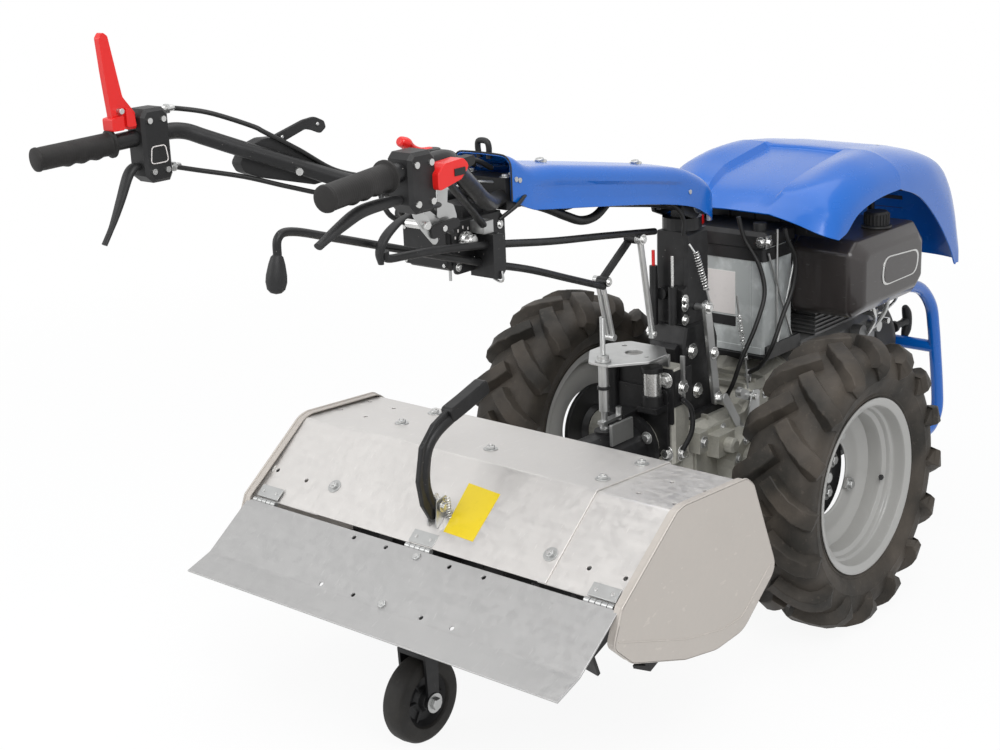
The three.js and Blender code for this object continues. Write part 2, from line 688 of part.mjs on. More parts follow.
function depthLever() {
  const overHood = (x) => heightAt(offset(HOOD_PATH, GAP), x);
  const foot = fromSide([
    [-790, overHood(-790)], [-752, overHood(-752)],
    [-760, overHood(-760) + 28], [-786, overHood(-786) + 30],
  ], [-14, 4]);
  const arm = fromSide(strip([
    [-772, 394], [-790, 424], [-796, 460], [-786, 506], [-762, 530], [-718, 549], [-660, 566],
  ], 22), [-10, 0]);
  const grip = fromSide(strip([[-735, 541], [-690, 554], [-640, 570]], 26), [-18, 8]);
  return join(foot, arm, grip);
}

function tailWheelFork() {
  const { x, radius, width } = TAIL_WHEEL;
  const top = 2 * radius + 6;
  const inside = width / 2 + 5;
  const leg = fromSide([[x - 7, top], [x + 9, top], [-778, underHood(-778)], [-798, underHood(-798)]],
    [-18, 18]);
  const bridge = slab([x - 16, x + 16], [-inside - 5, inside + 5], [top, top + 8]);
  const cheek = (y0) => fromSide([
    [x - 16, top + 8], [x - 12, radius - 12], [x + 12, radius - 12], [x + 16, top + 8],
  ], [y0, y0 + 5]);
  return join(leg, bridge, cheek(inside), cheek(-inside - 5));
}

function tailWheel() {
  const { radius, width } = TAIL_WHEEL;
  const half = width / 2;
  const wheel = spun([
    [9, half + 4.5], [9, half - 8], [44, half - 8], [48, half], [radius - 6, half], [radius, half - 8],
    [radius, -half + 8], [radius - 6, -half], [48, -half], [44, -half + 8], [9, -half + 8],
    [9, -half - 4.5], [0, -half - 4.5], [0, half + 4.5],
  ], 'y', 24);
  return wheel;
}

// ---------------------------------------------------------------- rotor and flap
// One half of the rotor around its own axis, towards +Y: shaft, flanges and L-shaped tines.
function rotorHalf(side) {
  const start = CASE_WIDTH / 2 - SEAT_DEPTH + GAP;
  const end = TILLER_HALF_WIDTH - 25;
  const shaft = bar([0, start, 0], [0, end, 0], 24, 16);
  const boss = bar([0, start, 0], [0, start + 20, 0], ROTOR_BOSS, 20);
  const pitch = (end - start - 62) / TINE_SETS;
  const pieces = [shaft, boss];
  for (let set = 0; set < TINE_SETS; set += 1) {
    const y = start + 34 + set * pitch;
    pieces.push(bar([0, y - 5, 0], [0, y + 5, 0], 62, 12));
    for (let n = 0; n < TINES_PER_SET; n += 1) {
      const reach = n % 2 ? 1 : -1; // 1 turns the blade towards the gear case
      const room = y + TINE_THICKNESS / 2 - CASE_WIDTH / 2 - CLEARANCE;
      const blade = reach > 0 ? Math.min(pitch * TINE_REACH, room) : pitch * TINE_REACH;
      const web = TINE_THICKNESS - 1;
      const profile = [
        [0, 40], [web, 40], [web, ROTOR.radius - 20], [blade, ROTOR.radius - 9], [blade, ROTOR.radius - 2],
        [0, ROTOR.radius - 9],
      ].map(([h, r]) => [reach * h, r]);
      const tine = new THREE.ExtrudeGeometry(shapeFrom(profile), { depth: 44, bevelEnabled: false });
      tine.rotateY(Math.PI / 2).translate(-22, 0, 0); // profile now lies in Z (across) and Y (radius)
      tine.applyMatrix4(new THREE.Matrix4().set(1, 0, 0, 0, 0, 0, 1,
        y + (reach * TINE_THICKNESS) / 2, 0, 1, 0, 0, 0, 0,
        0, 1));
      tine.rotateY((n * 2 * Math.PI) / TINES_PER_SET + set * 0.4);
      pieces.push(tine);
    }
  }
  const half = join(...pieces);
  return side > 0 ? half : half.scale(1, -1, 1);
}

// Around the hinge axis.
function rearFlap() {
  const plate = fromSide(strip([[-4, -2], [-102, -72], [-156, -90]], -HOOD_SHEET),
    [-FLAP_HALF_WIDTH, FLAP_HALF_WIDTH]);
  const barrel = (y) => bar([0, y - 28, 0], [0, y + 28, 0], HINGE_RADIUS, 12);
  return join(plate, barrel(-FLAP_HALF_WIDTH + 40), barrel(FLAP_HALF_WIDTH - 40), barrel(0));
}

// ---------------------------------------------------------------- handlebar head, beam and cover
function handlebarHead() {
  const z0 = COLUMN_TOP + GAP;
  const turret = bar([COLUMN_X, 0, z0], [COLUMN_X, 0, TURRET_TOP], 38, 24);
  const lug = bar([COLUMN_X, -LUG_HALF, TILT_Z], [COLUMN_X, LUG_HALF, TILT_Z], 21, 20);
  const web = slab([COLUMN_X - 18, COLUMN_X + 18], [-LUG_HALF, LUG_HALF], [TURRET_TOP - 4, TILT_Z]);
  return join(turret, lug, web);
}

const COVER_TOP = [[-618, 968], [-596, 961], [-470, 932], [-183, 883], [-110, 866], [-50, 838],
  [-14, 806], [0, 776]];
const COVER_LOWER_EDGE = [[-8, 768], [-50, 792], [-110, 818], [-236, 842], [-533, 886], [-596, 900]];
const BEAM_TOP = [[-606, 932], [-470, 905], [-183, 856], [-100, 832]];

// Height just below the cover's roof.
const underCover = (x) => heightAt(offset(COVER_TOP, -SHEET - GAP), x);

function handleBeam() {
  const box = fromSide([
    ...BEAM_TOP, [-88, 818], [-88, 782], [-183, 806], [-470, 858], [-606, 886],
  ], [-30, 30], 4);
  const cheek = (y0) => join(
    bar([COLUMN_X, y0, TILT_Z], [COLUMN_X, y0 + CHEEK, TILT_Z], 20, 20),
    fromSide([[-100, 826], [-100, 782], [COLUMN_X, TILT_Z - 20], [COLUMN_X, TILT_Z + 20]], [y0, y0 + CHEEK]),
  );
  const clampHalf = COVER_HALF_WIDTH - 2 * SHEET;
  const clamp = slab([-624, -584], [-clampHalf, clampHalf], [882, 934]);
  const boss = (x) => fromSide([
    [x - 9, heightAt(BEAM_TOP, x - 9) - 6], [x + 9, heightAt(BEAM_TOP, x + 9) - 6],
    [x + 9, underCover(x + 9)], [x - 9, underCover(x - 9)],
  ], [-9, 9]);
  const solid = join(box, cheek(LUG_HALF + GAP), cheek(-LUG_HALF - GAP - CHEEK), clamp,
    ...COVER_BOLTS.map(boss));
  return cut(solid, barClearance(1), barClearance(-1));
}

function handleCover() {
  const half = COVER_HALF_WIDTH;
  const [rear, tip] = [COVER_TOP[0], COVER_TOP[COVER_TOP.length - 1]];
  const depth = 150; // the block is cut back to the lower edge
  const block = fromSide([...COVER_TOP, [tip[0], tip[1] - depth], [rear[0], tip[1] - depth]],
    [-half, half], 12);
  const roof = offset(COVER_TOP, -SHEET);
  const hollow = fromSide(
    [[rear[0] - 20, rear[1] - SHEET], ...roof, [tip[0] - SHEET, tip[1] - 2 * depth],
      [rear[0] - 20, tip[1] - 2 * depth]],
    [-half + SHEET, half - SHEET],
    10,
  );
  const below = fromSide(
    [[20, tip[1] - 4], ...COVER_LOWER_EDGE, [rear[0] - 20, 908], [rear[0] - 20, tip[1] - 2 * depth],
      [20, tip[1] - 2 * depth]],
    [-half - 1, half + 1],
  );
  return cut(block, hollow, below);
}

// ---------------------------------------------------------------- handlebars and controls (left side, +Y)
const BAR_PATH = [
  [-612, COVER_HALF_WIDTH - 24, 901], [-650, 52, 904], [-705, 90, 912], [-789, 146, 941], [-864, 192, 977],
  [-930, 232, 1008], [-975, 260, 1030], [-1003, 276, 1043], [-1040, 283, 1046], [-1130, 289, 1042],
];
const GRIP_PATH = [[-1131.2, 289, 1042], [-1262, 305, 1035]];

function handlebar(side) {
  const points = side > 0 ? BAR_PATH : mirrored(BAR_PATH);
  return tube(points, BAR_RADIUS, BAR_STEPS, 10);
}

function grip(side) {
  const [from, to] = side > 0 ? GRIP_PATH : mirrored(GRIP_PATH);
  const collar = from.map((value, i) => value + 0.05 * (to[i] - value));
  return join(bar(from, to, GRIP_RADIUS, 20), bar(from, collar, GRIP_RADIUS + 4, 20));
}

// A tool that clears the handlebar where a piece is clamped on it.
function barClearance(side) {
  const points = side > 0 ? BAR_PATH : mirrored(BAR_PATH);
  return tube(points, BAR_RADIUS + GAP, BAR_STEPS, 10);
}

function leftBracket() {
  const [x0, x1] = ALONG.bracket;
  const body = fromSide([
    [x0, 986], [x0 + 14, 974], [x1 - 6, 974], [x1, 984],
    [x1, 1078], [x1 - 10, 1088], [x0 + 8, 1088], [x0, 1076],
  ], [264, 306], 5);
  return cut(body, barClearance(1));
}

function rightBracket() {
  const [x0, x1] = ALONG.rightBracket;
  const body = fromSide([
    [x0, 1000], [x0 + 12, 986], [x1 - 10, 986], [x1, 1002],
    [x1, 1058], [x1 - 10, 1068], [x0 + 8, 1068], [x0, 1060],
  ], [-308, -264], 5);
  return cut(body, barClearance(-1));
}

function stopLever() {
  const back = ALONG.bracket[0] - GAP;
  const blade = fromSide([
    [back, 1058], [back, 1086], [-1114, 1112], [-1120, 1160], [-1130, 1204], [-1138, 1210], [-1144, 1200],
    [-1140, 1150], [-1138, 1104], [-1132, 1070], [-1120, 1058],
  ], [276, 292], 3);
  return cut(blade, barClearance(1));
}

function clutchLever() {
  const start = [ALONG.bracket[0] - 3 * GAP, 285, 1000];
  return tube([start, [-1101, 285, 1000], [-1112, 286, 988], [-1128, 288, 954], [-1146, 289, 920],
    [-1165, 290, 891]], 7.5, 8, 8);
}

function brakeLever() {
  const start = [ALONG.rightBracket[0] - 1, -286, 1006];
  return tube([start, [-1136, -288, 1007], [-1190, -296, 1006], [-1232, -300, 994],
    [-1274, -302, 977]], 8, 8, 8);
}

function throttleLever() {
  const foot = cut(fromAbove([[-1030, -288], [-990, -276], [-990, -234], [-1036, -240]],
    [1044, 1068]), barClearance(-1));
  const arm = bar([-1010, -246, 1064], [-1024, -244, 1082], 6, 10);
  const knob = bar([-1016, -245, 1078], [-1060, -240, 1086], 11, 14);
  return join(foot, arm, knob);
}

// Moves a piece outlined from the side so that it lies along the slanting stretch of the left bar.
function alongLeftBar(geometry) {
  const slope = (BAR_PATH[3][1] - BAR_PATH[5][1]) / (BAR_PATH[3][0] - BAR_PATH[5][0]);
  const shear = new THREE.Matrix4().makeShear(slope, 0, 0, 0, 0, 0);
  return geometry.applyMatrix4(shear).translate(0, BAR_PATH[4][1] - slope * BAR_PATH[4][0], 0);
}

// Lens-shaped housing bolted to the outside of the left bar, with its hooked locking lever.
function lockLever() {
  const housing = fromSide([
    [-925, 990], [-910, 1012], [-888, 1020], [-866, 1020], [-816, 970], [-777, 946],
    [-825, 936], [-905, 958], [-921, 970],
  ], [11, 36], 4);
  const hook = fromSide([
    [-884, 1006], [-876, 1020], [-828, 1043], [-817, 1046], [-805, 1041], [-800, 1027],
    [-809, 1016], [-818, 1026], [-863, 1008],
  ], [18, 25]);
  const cableRoom = (route) => cable(route, LEFT_CABLE + GAP);
  const clearances = [barClearance(1), cableRoom(UPPER_CABLE), cableRoom(LOWER_CABLE)];
  return cut(alongLeftBar(join(housing, hook)), ...clearances);
}

// ---------------------------------------------------------------- gear selector rods and panel
const UPPER_ROD = [[-690, -78, 841], [-520, -58, 811], [-330, -24, 780], [-140, 0, 750]];
const LOWER_ROD = [[-689, -62, 808], [-560, -44, 769], [-420, -20, 720], [-300, 0, 678]];
const UPPER_HANDLE = [[-939, -84, 880], [-934, -84, 868], [-890, -84, 864], [-810, -82, 857], UPPER_ROD[0]];
const LOWER_HANDLE = [[-1132, -64, 904], [-1128, -64, 934], [-1100, -64, 938], [-1015, -64, 912],
  [-850, -63, 859], LOWER_ROD[0]];

function shiftRod(handle, rod, radius = ROD_RADIUS) {
  return tube([...handle, ...rod.slice(1)], radius, 20, 8);
}

function upperShiftRod() {
  const paddle = fromSide([[-956, 914], [-942, 916], [-930, 878], [-934, 860], [-950, 866]], [-96, -72], 3);
  return join(shiftRod(UPPER_HANDLE, UPPER_ROD), paddle);
}

function lowerShiftRod() {
  const knob = tube([[-1133, -64, 906], [-1138, -64, 884], [-1140, -64, 856]], 15, 4, 14);
  return join(shiftRod(LOWER_HANDLE, LOWER_ROD), knob);
}

// Links that hang from the rods; their lower ends stop above the selector plate.
function frontLink() {
  const eye = bar([-172, -16, 739], [-172, -6, 739], 10, 14);
  const link = bar([-172, -11, 739], [-166, -11, 556], 6, 12);
  const foot = bar([-166, -11, 572], [-166, -11, 552], 8, 12);
  const pin = bar([-172, -11, 739], [-172, 8, 739], 4, 10);
  return cut(join(eye, link, foot, pin), shiftRod(UPPER_HANDLE, UPPER_ROD, ROD_RADIUS + GAP));
}

function rearLink() {
  const brace = fromSide(strip([[-300, 690], [-208, 752]], -14), [8, 14]);
  const pins = [
    bar([-294, -2, 686], [-294, 14, 686], 5, 10),
    bar([-207, -4, 749], [-207, 14, 749], 5, 10),
  ];
  const rail = (y) => bar([-294, y, 690], [-264, y, 572], 5, 10);
  const foot = slab([-272, -256], [6, 24], [566, 578]);
  const clearance = [
    shiftRod(LOWER_HANDLE, LOWER_ROD, ROD_RADIUS + GAP),
    shiftRod(UPPER_HANDLE, UPPER_ROD, ROD_RADIUS + GAP),
  ];
  const tie = slab([-302, -286], [6, 24], [682, 694]);
  return cut(join(brace, ...pins, rail(10), rail(20), foot, tie), ...clearance);
}

function controlPanel() {
  const z = [806, 882];
  const housing = fromSide([
    [-762, z[0] + 8], [-752, z[0]], [-640, z[0]], [-626, z[0] + 16], [-626, z[1]], [-762, z[1] - 4],
  ], [-48, 48], 6);
  const sidePlate = fromSide([[-706, 790], [-690, 786], [-676, 800], [-676, 858], [-706, 862]], [-94, -44]);
  const hanger = slab([-700, -650], [-26, 26], [z[1] - 10, 900]);
  return cut(
    join(housing, sidePlate, hanger),
    shiftRod(UPPER_HANDLE, UPPER_ROD, ROD_RADIUS + GAP),
    shiftRod(LOWER_HANDLE, LOWER_ROD, ROD_RADIUS + GAP),
  );
}

// ---------------------------------------------------------------- control cables
const UPPER_CABLE = [
  [ALONG.bracket[1] + 2 * GAP, 288, 1080], [-1024, 288, 1080], [-1000, 286, 1077], [-960, 260, 1066],
  [-908, 226, 1041], [-892, 213, 1029], [-846, 187, 996], [-792, 164, 957], [-740, 130, 940],
  [-712, 106, 941], [-664, 66, 946], [-612, 40, 947],
];
const LOWER_CABLE = [
  [ALONG.bracket[1] + 2 * GAP, 285, 990], [-1026, 285, 990], [-986, 269, 979], [-926, 232, 962],
  [-866, 195, 939], [-811, 166, 921], [-760, 146, 920], [-712, 114, 929], [-664, 78, 936], [-612, 51, 940],
];
const RIGHT_CABLE = [
  [ALONG.rightBracket[1] + 2 * GAP, -286, 1018], [-1038, -286, 1018], [-995, -268, 1012], [-960, -243, 998],
  [-930, -221, 984], [-864, -176, 955], [-789, -126, 920], [-745, -98, 896], [-700, -72, 872],
];

function leftCables() {
  const clip = bar([-712, 116, 926], [-712, 104, 944], 7, 10);
  return join(cable(UPPER_CABLE, LEFT_CABLE), cable(LOWER_CABLE, LEFT_CABLE), clip);
}

function rightCables() {
  return join(cable(RIGHT_CABLE, RIGHT_CABLE_RADIUS), slab([-712, -690], [-82, -48 - GAP], [862, 882]));
}

// ---------------------------------------------------------------- assembly
const machine = new THREE.Group();

const chassis = group(machine);
place(chassis, 'gearbox', gearbox(), CAST);
place(chassis, 'clutch_housing', clutchHousing(), CAST);
place(chassis, 'engine_block', engineBlock(), CAST);
place(chassis, 'recoil_housing', recoilHousing(), BLACK);
place(chassis, 'recoil_handle', recoilHandle(), BLACK);
place(chassis, 'fuel_tank', fuelTank(), TANK_BLACK);
place(chassis, 'fuel_cap', fuelCap(), BLACK);
place(chassis, 'air_cleaner', airCleaner(), BLACK);
place(chassis, 'muffler', muffler(), GALVANISED);
place(chassis, 'engine_cowl', engineCowl(), BLUE);
place(chassis, 'front_guard', frontGuard(), BLUE);
place(chassis, 'battery_tray', batteryTray(), BLACK);
place(chassis, 'battery_case', batteryCase(), CASE_GREY);
place(chassis, 'battery_lid', batteryLid(), BLACK);
place(chassis, 'clutch_cable', cable(CLUTCH_CABLE, GEARBOX_CABLE), BLACK);
place(chassis, 'gear_cable', cable(GEAR_CABLE, GEARBOX_CABLE), BLACK);
place(chassis, 'column', column(), BLACK);
place(chassis, 'lever_bar', leverBar(), ZINC);
place(chassis, 'hitch_box', hitchBox(), BLACK);
place(chassis, 'selector_plate', selectorPlate(), ZINC);
place(chassis, 'depth_spindle', depthSpindle(), ZINC);
place(chassis, 'tiller_gearcase', tillerGearcase(), BLACK);
place(chassis, 'tiller_hood', tillerHood(), GALVANISED);
place(chassis, 'hood_extension_left', hoodExtension(1), GALVANISED);
place(chassis, 'hood_extension_right', hoodExtension(-1), GALVANISED);
place(chassis, 'end_plate_left', endPlate(1), END_GREY);
place(chassis, 'end_plate_right', endPlate(-1), END_GREY);
place(chassis, 'depth_lever', depthLever(), BLACK);
place(chassis, 'tail_wheel_fork', tailWheelFork(), BLACK);

for (const [name, side] of [['left', 1], ['right', -1]]) {
  const wheel = group(machine, 0, side * WHEEL_CENTRE_Y, TYRE_RADIUS);
  place(wheel, `tyre_${name}`, tyre(), RUBBER);
  place(wheel, `rim_${name}`, rim(side), RIM_SILVER);
}

place(group(machine, TAIL_WHEEL.x, 0, TAIL_WHEEL.radius), 'tail_wheel', tailWheel(), RUBBER);

const rotor = group(machine, ROTOR.x, 0, ROTOR.z);
place(rotor, 'rotor_left', rotorHalf(1), BLACK);
place(rotor, 'rotor_right', rotorHalf(-1), BLACK);

place(group(machine, HINGE.x, 0, HINGE.z), 'rear_flap', rearFlap(), GALVANISED);

const head = group(machine);
place(head, 'handlebar_head', handlebarHead(), BLACK);

const handle = group(machine);
place(handle, 'handle_beam', handleBeam(), BLACK);
place(handle, 'handle_cover', handleCover(), BLUE);
place(handle, 'handlebar_left', handlebar(1), BLACK);
place(handle, 'handlebar_right', handlebar(-1), BLACK);
place(handle, 'grip_left', grip(1), RUBBER);
place(handle, 'grip_right', grip(-1), RUBBER);
place(handle, 'bracket_left', leftBracket(), BLACK);
place(handle, 'bracket_right', rightBracket(), BLACK);
place(handle, 'stop_lever', stopLever(), RED);
place(handle, 'clutch_lever', clutchLever(), BLACK);
place(handle, 'brake_lever', brakeLever(), BLACK);
place(handle, 'throttle_lever', throttleLever(), RED);
place(handle, 'lock_lever', lockLever(), BLACK);
place(handle, 'shift_rod_upper', upperShiftRod(), BLACK);
place(handle, 'shift_rod_lower', lowerShiftRod(), BLACK);
place(handle, 'shift_link_front', frontLink(), ZINC);
place(handle, 'shift_link_rear', rearLink(), ZINC);
place(handle, 'control_panel', controlPanel(), BLACK);
place(handle, 'cables_left', leftCables(), BLACK);
place(handle, 'cables_right', rightCables(), BLACK);

// The origin is on the ground under the middle of the machine's length.
const footprint = new THREE.Box3().setFromObject(machine);
machine.position.x = -(footprint.min.x + footprint.max.x) / 2;

export default machine;
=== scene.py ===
"""Looks of a two-wheel walking tractor with a rotary tiller, built round its CAD frame as an add-on."""

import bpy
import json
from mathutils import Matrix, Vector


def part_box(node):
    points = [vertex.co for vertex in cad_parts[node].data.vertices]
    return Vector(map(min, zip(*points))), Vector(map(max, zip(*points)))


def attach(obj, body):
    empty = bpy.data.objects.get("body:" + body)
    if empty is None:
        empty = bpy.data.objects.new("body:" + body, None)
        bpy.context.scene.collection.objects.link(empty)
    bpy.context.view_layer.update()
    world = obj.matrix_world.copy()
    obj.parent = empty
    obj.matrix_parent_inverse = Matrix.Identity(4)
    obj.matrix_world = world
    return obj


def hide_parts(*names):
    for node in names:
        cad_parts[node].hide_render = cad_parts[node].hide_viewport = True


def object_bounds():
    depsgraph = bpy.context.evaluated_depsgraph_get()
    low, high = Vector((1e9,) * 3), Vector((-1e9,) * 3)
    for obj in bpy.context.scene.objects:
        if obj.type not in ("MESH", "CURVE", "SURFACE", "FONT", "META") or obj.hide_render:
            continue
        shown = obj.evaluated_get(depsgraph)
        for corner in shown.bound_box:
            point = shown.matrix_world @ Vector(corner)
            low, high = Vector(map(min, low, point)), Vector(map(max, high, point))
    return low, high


bl_info = {
    "name": "Walking Tractor Looks",
    "version": (1, 0, 0),
    "blender": (4, 5, 0),
    "location": "View3D > Sidebar > Tractor",
    "description": "Builds the visible pieces, finishes and stage of a walking tractor with a tiller",
    "category": "Object",
}

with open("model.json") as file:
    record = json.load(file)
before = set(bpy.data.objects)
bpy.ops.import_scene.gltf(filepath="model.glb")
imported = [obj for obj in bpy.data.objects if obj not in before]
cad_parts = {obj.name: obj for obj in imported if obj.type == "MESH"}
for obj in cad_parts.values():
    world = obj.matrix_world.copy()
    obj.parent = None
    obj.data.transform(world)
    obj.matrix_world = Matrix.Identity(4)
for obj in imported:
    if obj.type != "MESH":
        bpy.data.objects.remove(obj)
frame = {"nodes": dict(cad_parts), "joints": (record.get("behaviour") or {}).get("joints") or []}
CAD_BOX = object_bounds()

import json
import math

import bmesh
import bpy
from mathutils import Matrix, Vector

# ---- places, in millimetres from the axle
JOINTS = {joint["name"]: joint for joint in frame["joints"]}
AXLE_X = JOINTS["wheel_left_spin"]["pos_m"][0] * 1000
AXLE_Z = JOINTS["wheel_left_spin"]["pos_m"][2] * 1000
WHEEL_Y = JOINTS["wheel_left_spin"]["pos_m"][1] * 1000
TAIL_X = JOINTS["tail_wheel_spin"]["pos_m"][0] * 1000 - AXLE_X
TAIL_Z = JOINTS["tail_wheel_spin"]["pos_m"][2] * 1000
HINGE_X = JOINTS["flap_hinge"]["pos_m"][0] * 1000 - AXLE_X
HINGE_Z = JOINTS["flap_hinge"]["pos_m"][2] * 1000
HALF_WIDTH = CAD_BOX[1].y * 1000
SIDES = ((1, "left"), (-1, "right"))


def spot(point):
    """A point in metres in the machine's frame, from millimetres forward of the axle."""
    return Vector(((point[0] + AXLE_X) / 1000, point[1] / 1000, point[2] / 1000))


def edges(node):
    """Lowest and highest x, y and z of a CAD node, in millimetres forward of the axle."""
    low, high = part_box(node)
    return ((low.x * 1000 - AXLE_X, high.x * 1000 - AXLE_X), (low.y * 1000, high.y * 1000),
            (low.z * 1000, high.z * 1000))


def other_side(points):
    """The points mirrored to the other side of the machine."""
    return [(x, -y, z) for x, y, z in points]


# ---- lines and outlines
def smooth(points, steps=8):
    """A curve through the points, with `steps` stretches between each two."""
    line = [Vector(p) for p in points]
    line = [2 * line[0] - line[1], *line, 2 * line[-1] - line[-2]]
    curve = []
    for a, b, c, d in zip(line, line[1:], line[2:], line[3:]):
        for k in range(steps):
            t = k / steps
            curve.append(0.5 * ((2 * b) + (c - a) * t + (2 * a - 5 * b + 4 * c - d) * t**2
                                + (3 * b - a - 3 * c + d) * t**3))
    return [*curve, line[-2]]


def rounded(outline, radius, steps=5, closed=True):
    """A flat outline with its corners turned into arcs; `radius` is one number or one for each corner."""
    count = len(outline)
    radii = radius if isinstance(radius, (list, tuple)) else [radius] * count
    result = []
    for i, corner in enumerate(outline):
        here = Vector(corner)
        if not closed and i in (0, count - 1):
            result.append(tuple(here))
            continue
        before = Vector(outline[i - 1]) - here
        after = Vector(outline[(i + 1) % count]) - here
        turn = before.angle(after)
        reach = min(radii[i] / math.tan(turn / 2), before.length * 0.49, after.length * 0.49)
        a = here + before.normalized() * reach
        b = here + after.normalized() * reach
        for k in range(steps + 1):
            t = k / steps
            result.append(tuple((1 - t) ** 2 * a + 2 * t * (1 - t) * here + t**2 * b))
    return result


def shifted(path, distance):
    """An open flat path moved sideways by `distance`, to the left of its direction."""
    result = []
    for i, point in enumerate(path):
        here = Vector(point)
        before = (here - Vector(path[i - 1])).normalized() if i else None
        after = (Vector(path[i + 1]) - here).normalized() if i < len(path) - 1 else before
        before = before or after
        mitre = (before + after).normalized()
        reach = distance / max(before.dot(mitre), 0.3)
        result.append((here.x - mitre.y * reach, here.y + mitre.x * reach))
    return result


def strip(path, thickness):
    return [*path, *reversed(shifted(path, thickness))]


def height_at(path, x):
    """Height at x of a line seen from the side, whose points run in order of x."""
    for (x0, z0), (x1, z1) in zip(path, path[1:]):
        if x0 <= x <= x1:
            return z0 + (z1 - z0) * (x - x0) / (x1 - x0)
    return path[-1][1] if x > path[-1][0] else path[0][1]


def square_to(normal):
    """Two unit vectors square to `normal` and to each other."""
    normal = Vector(normal).normalized()
    start = Vector((0, 0, 1)) if abs(normal.z) < 0.9 else Vector((1, 0, 0))
    across = normal.cross(start).normalized()
    return across, normal.cross(across)


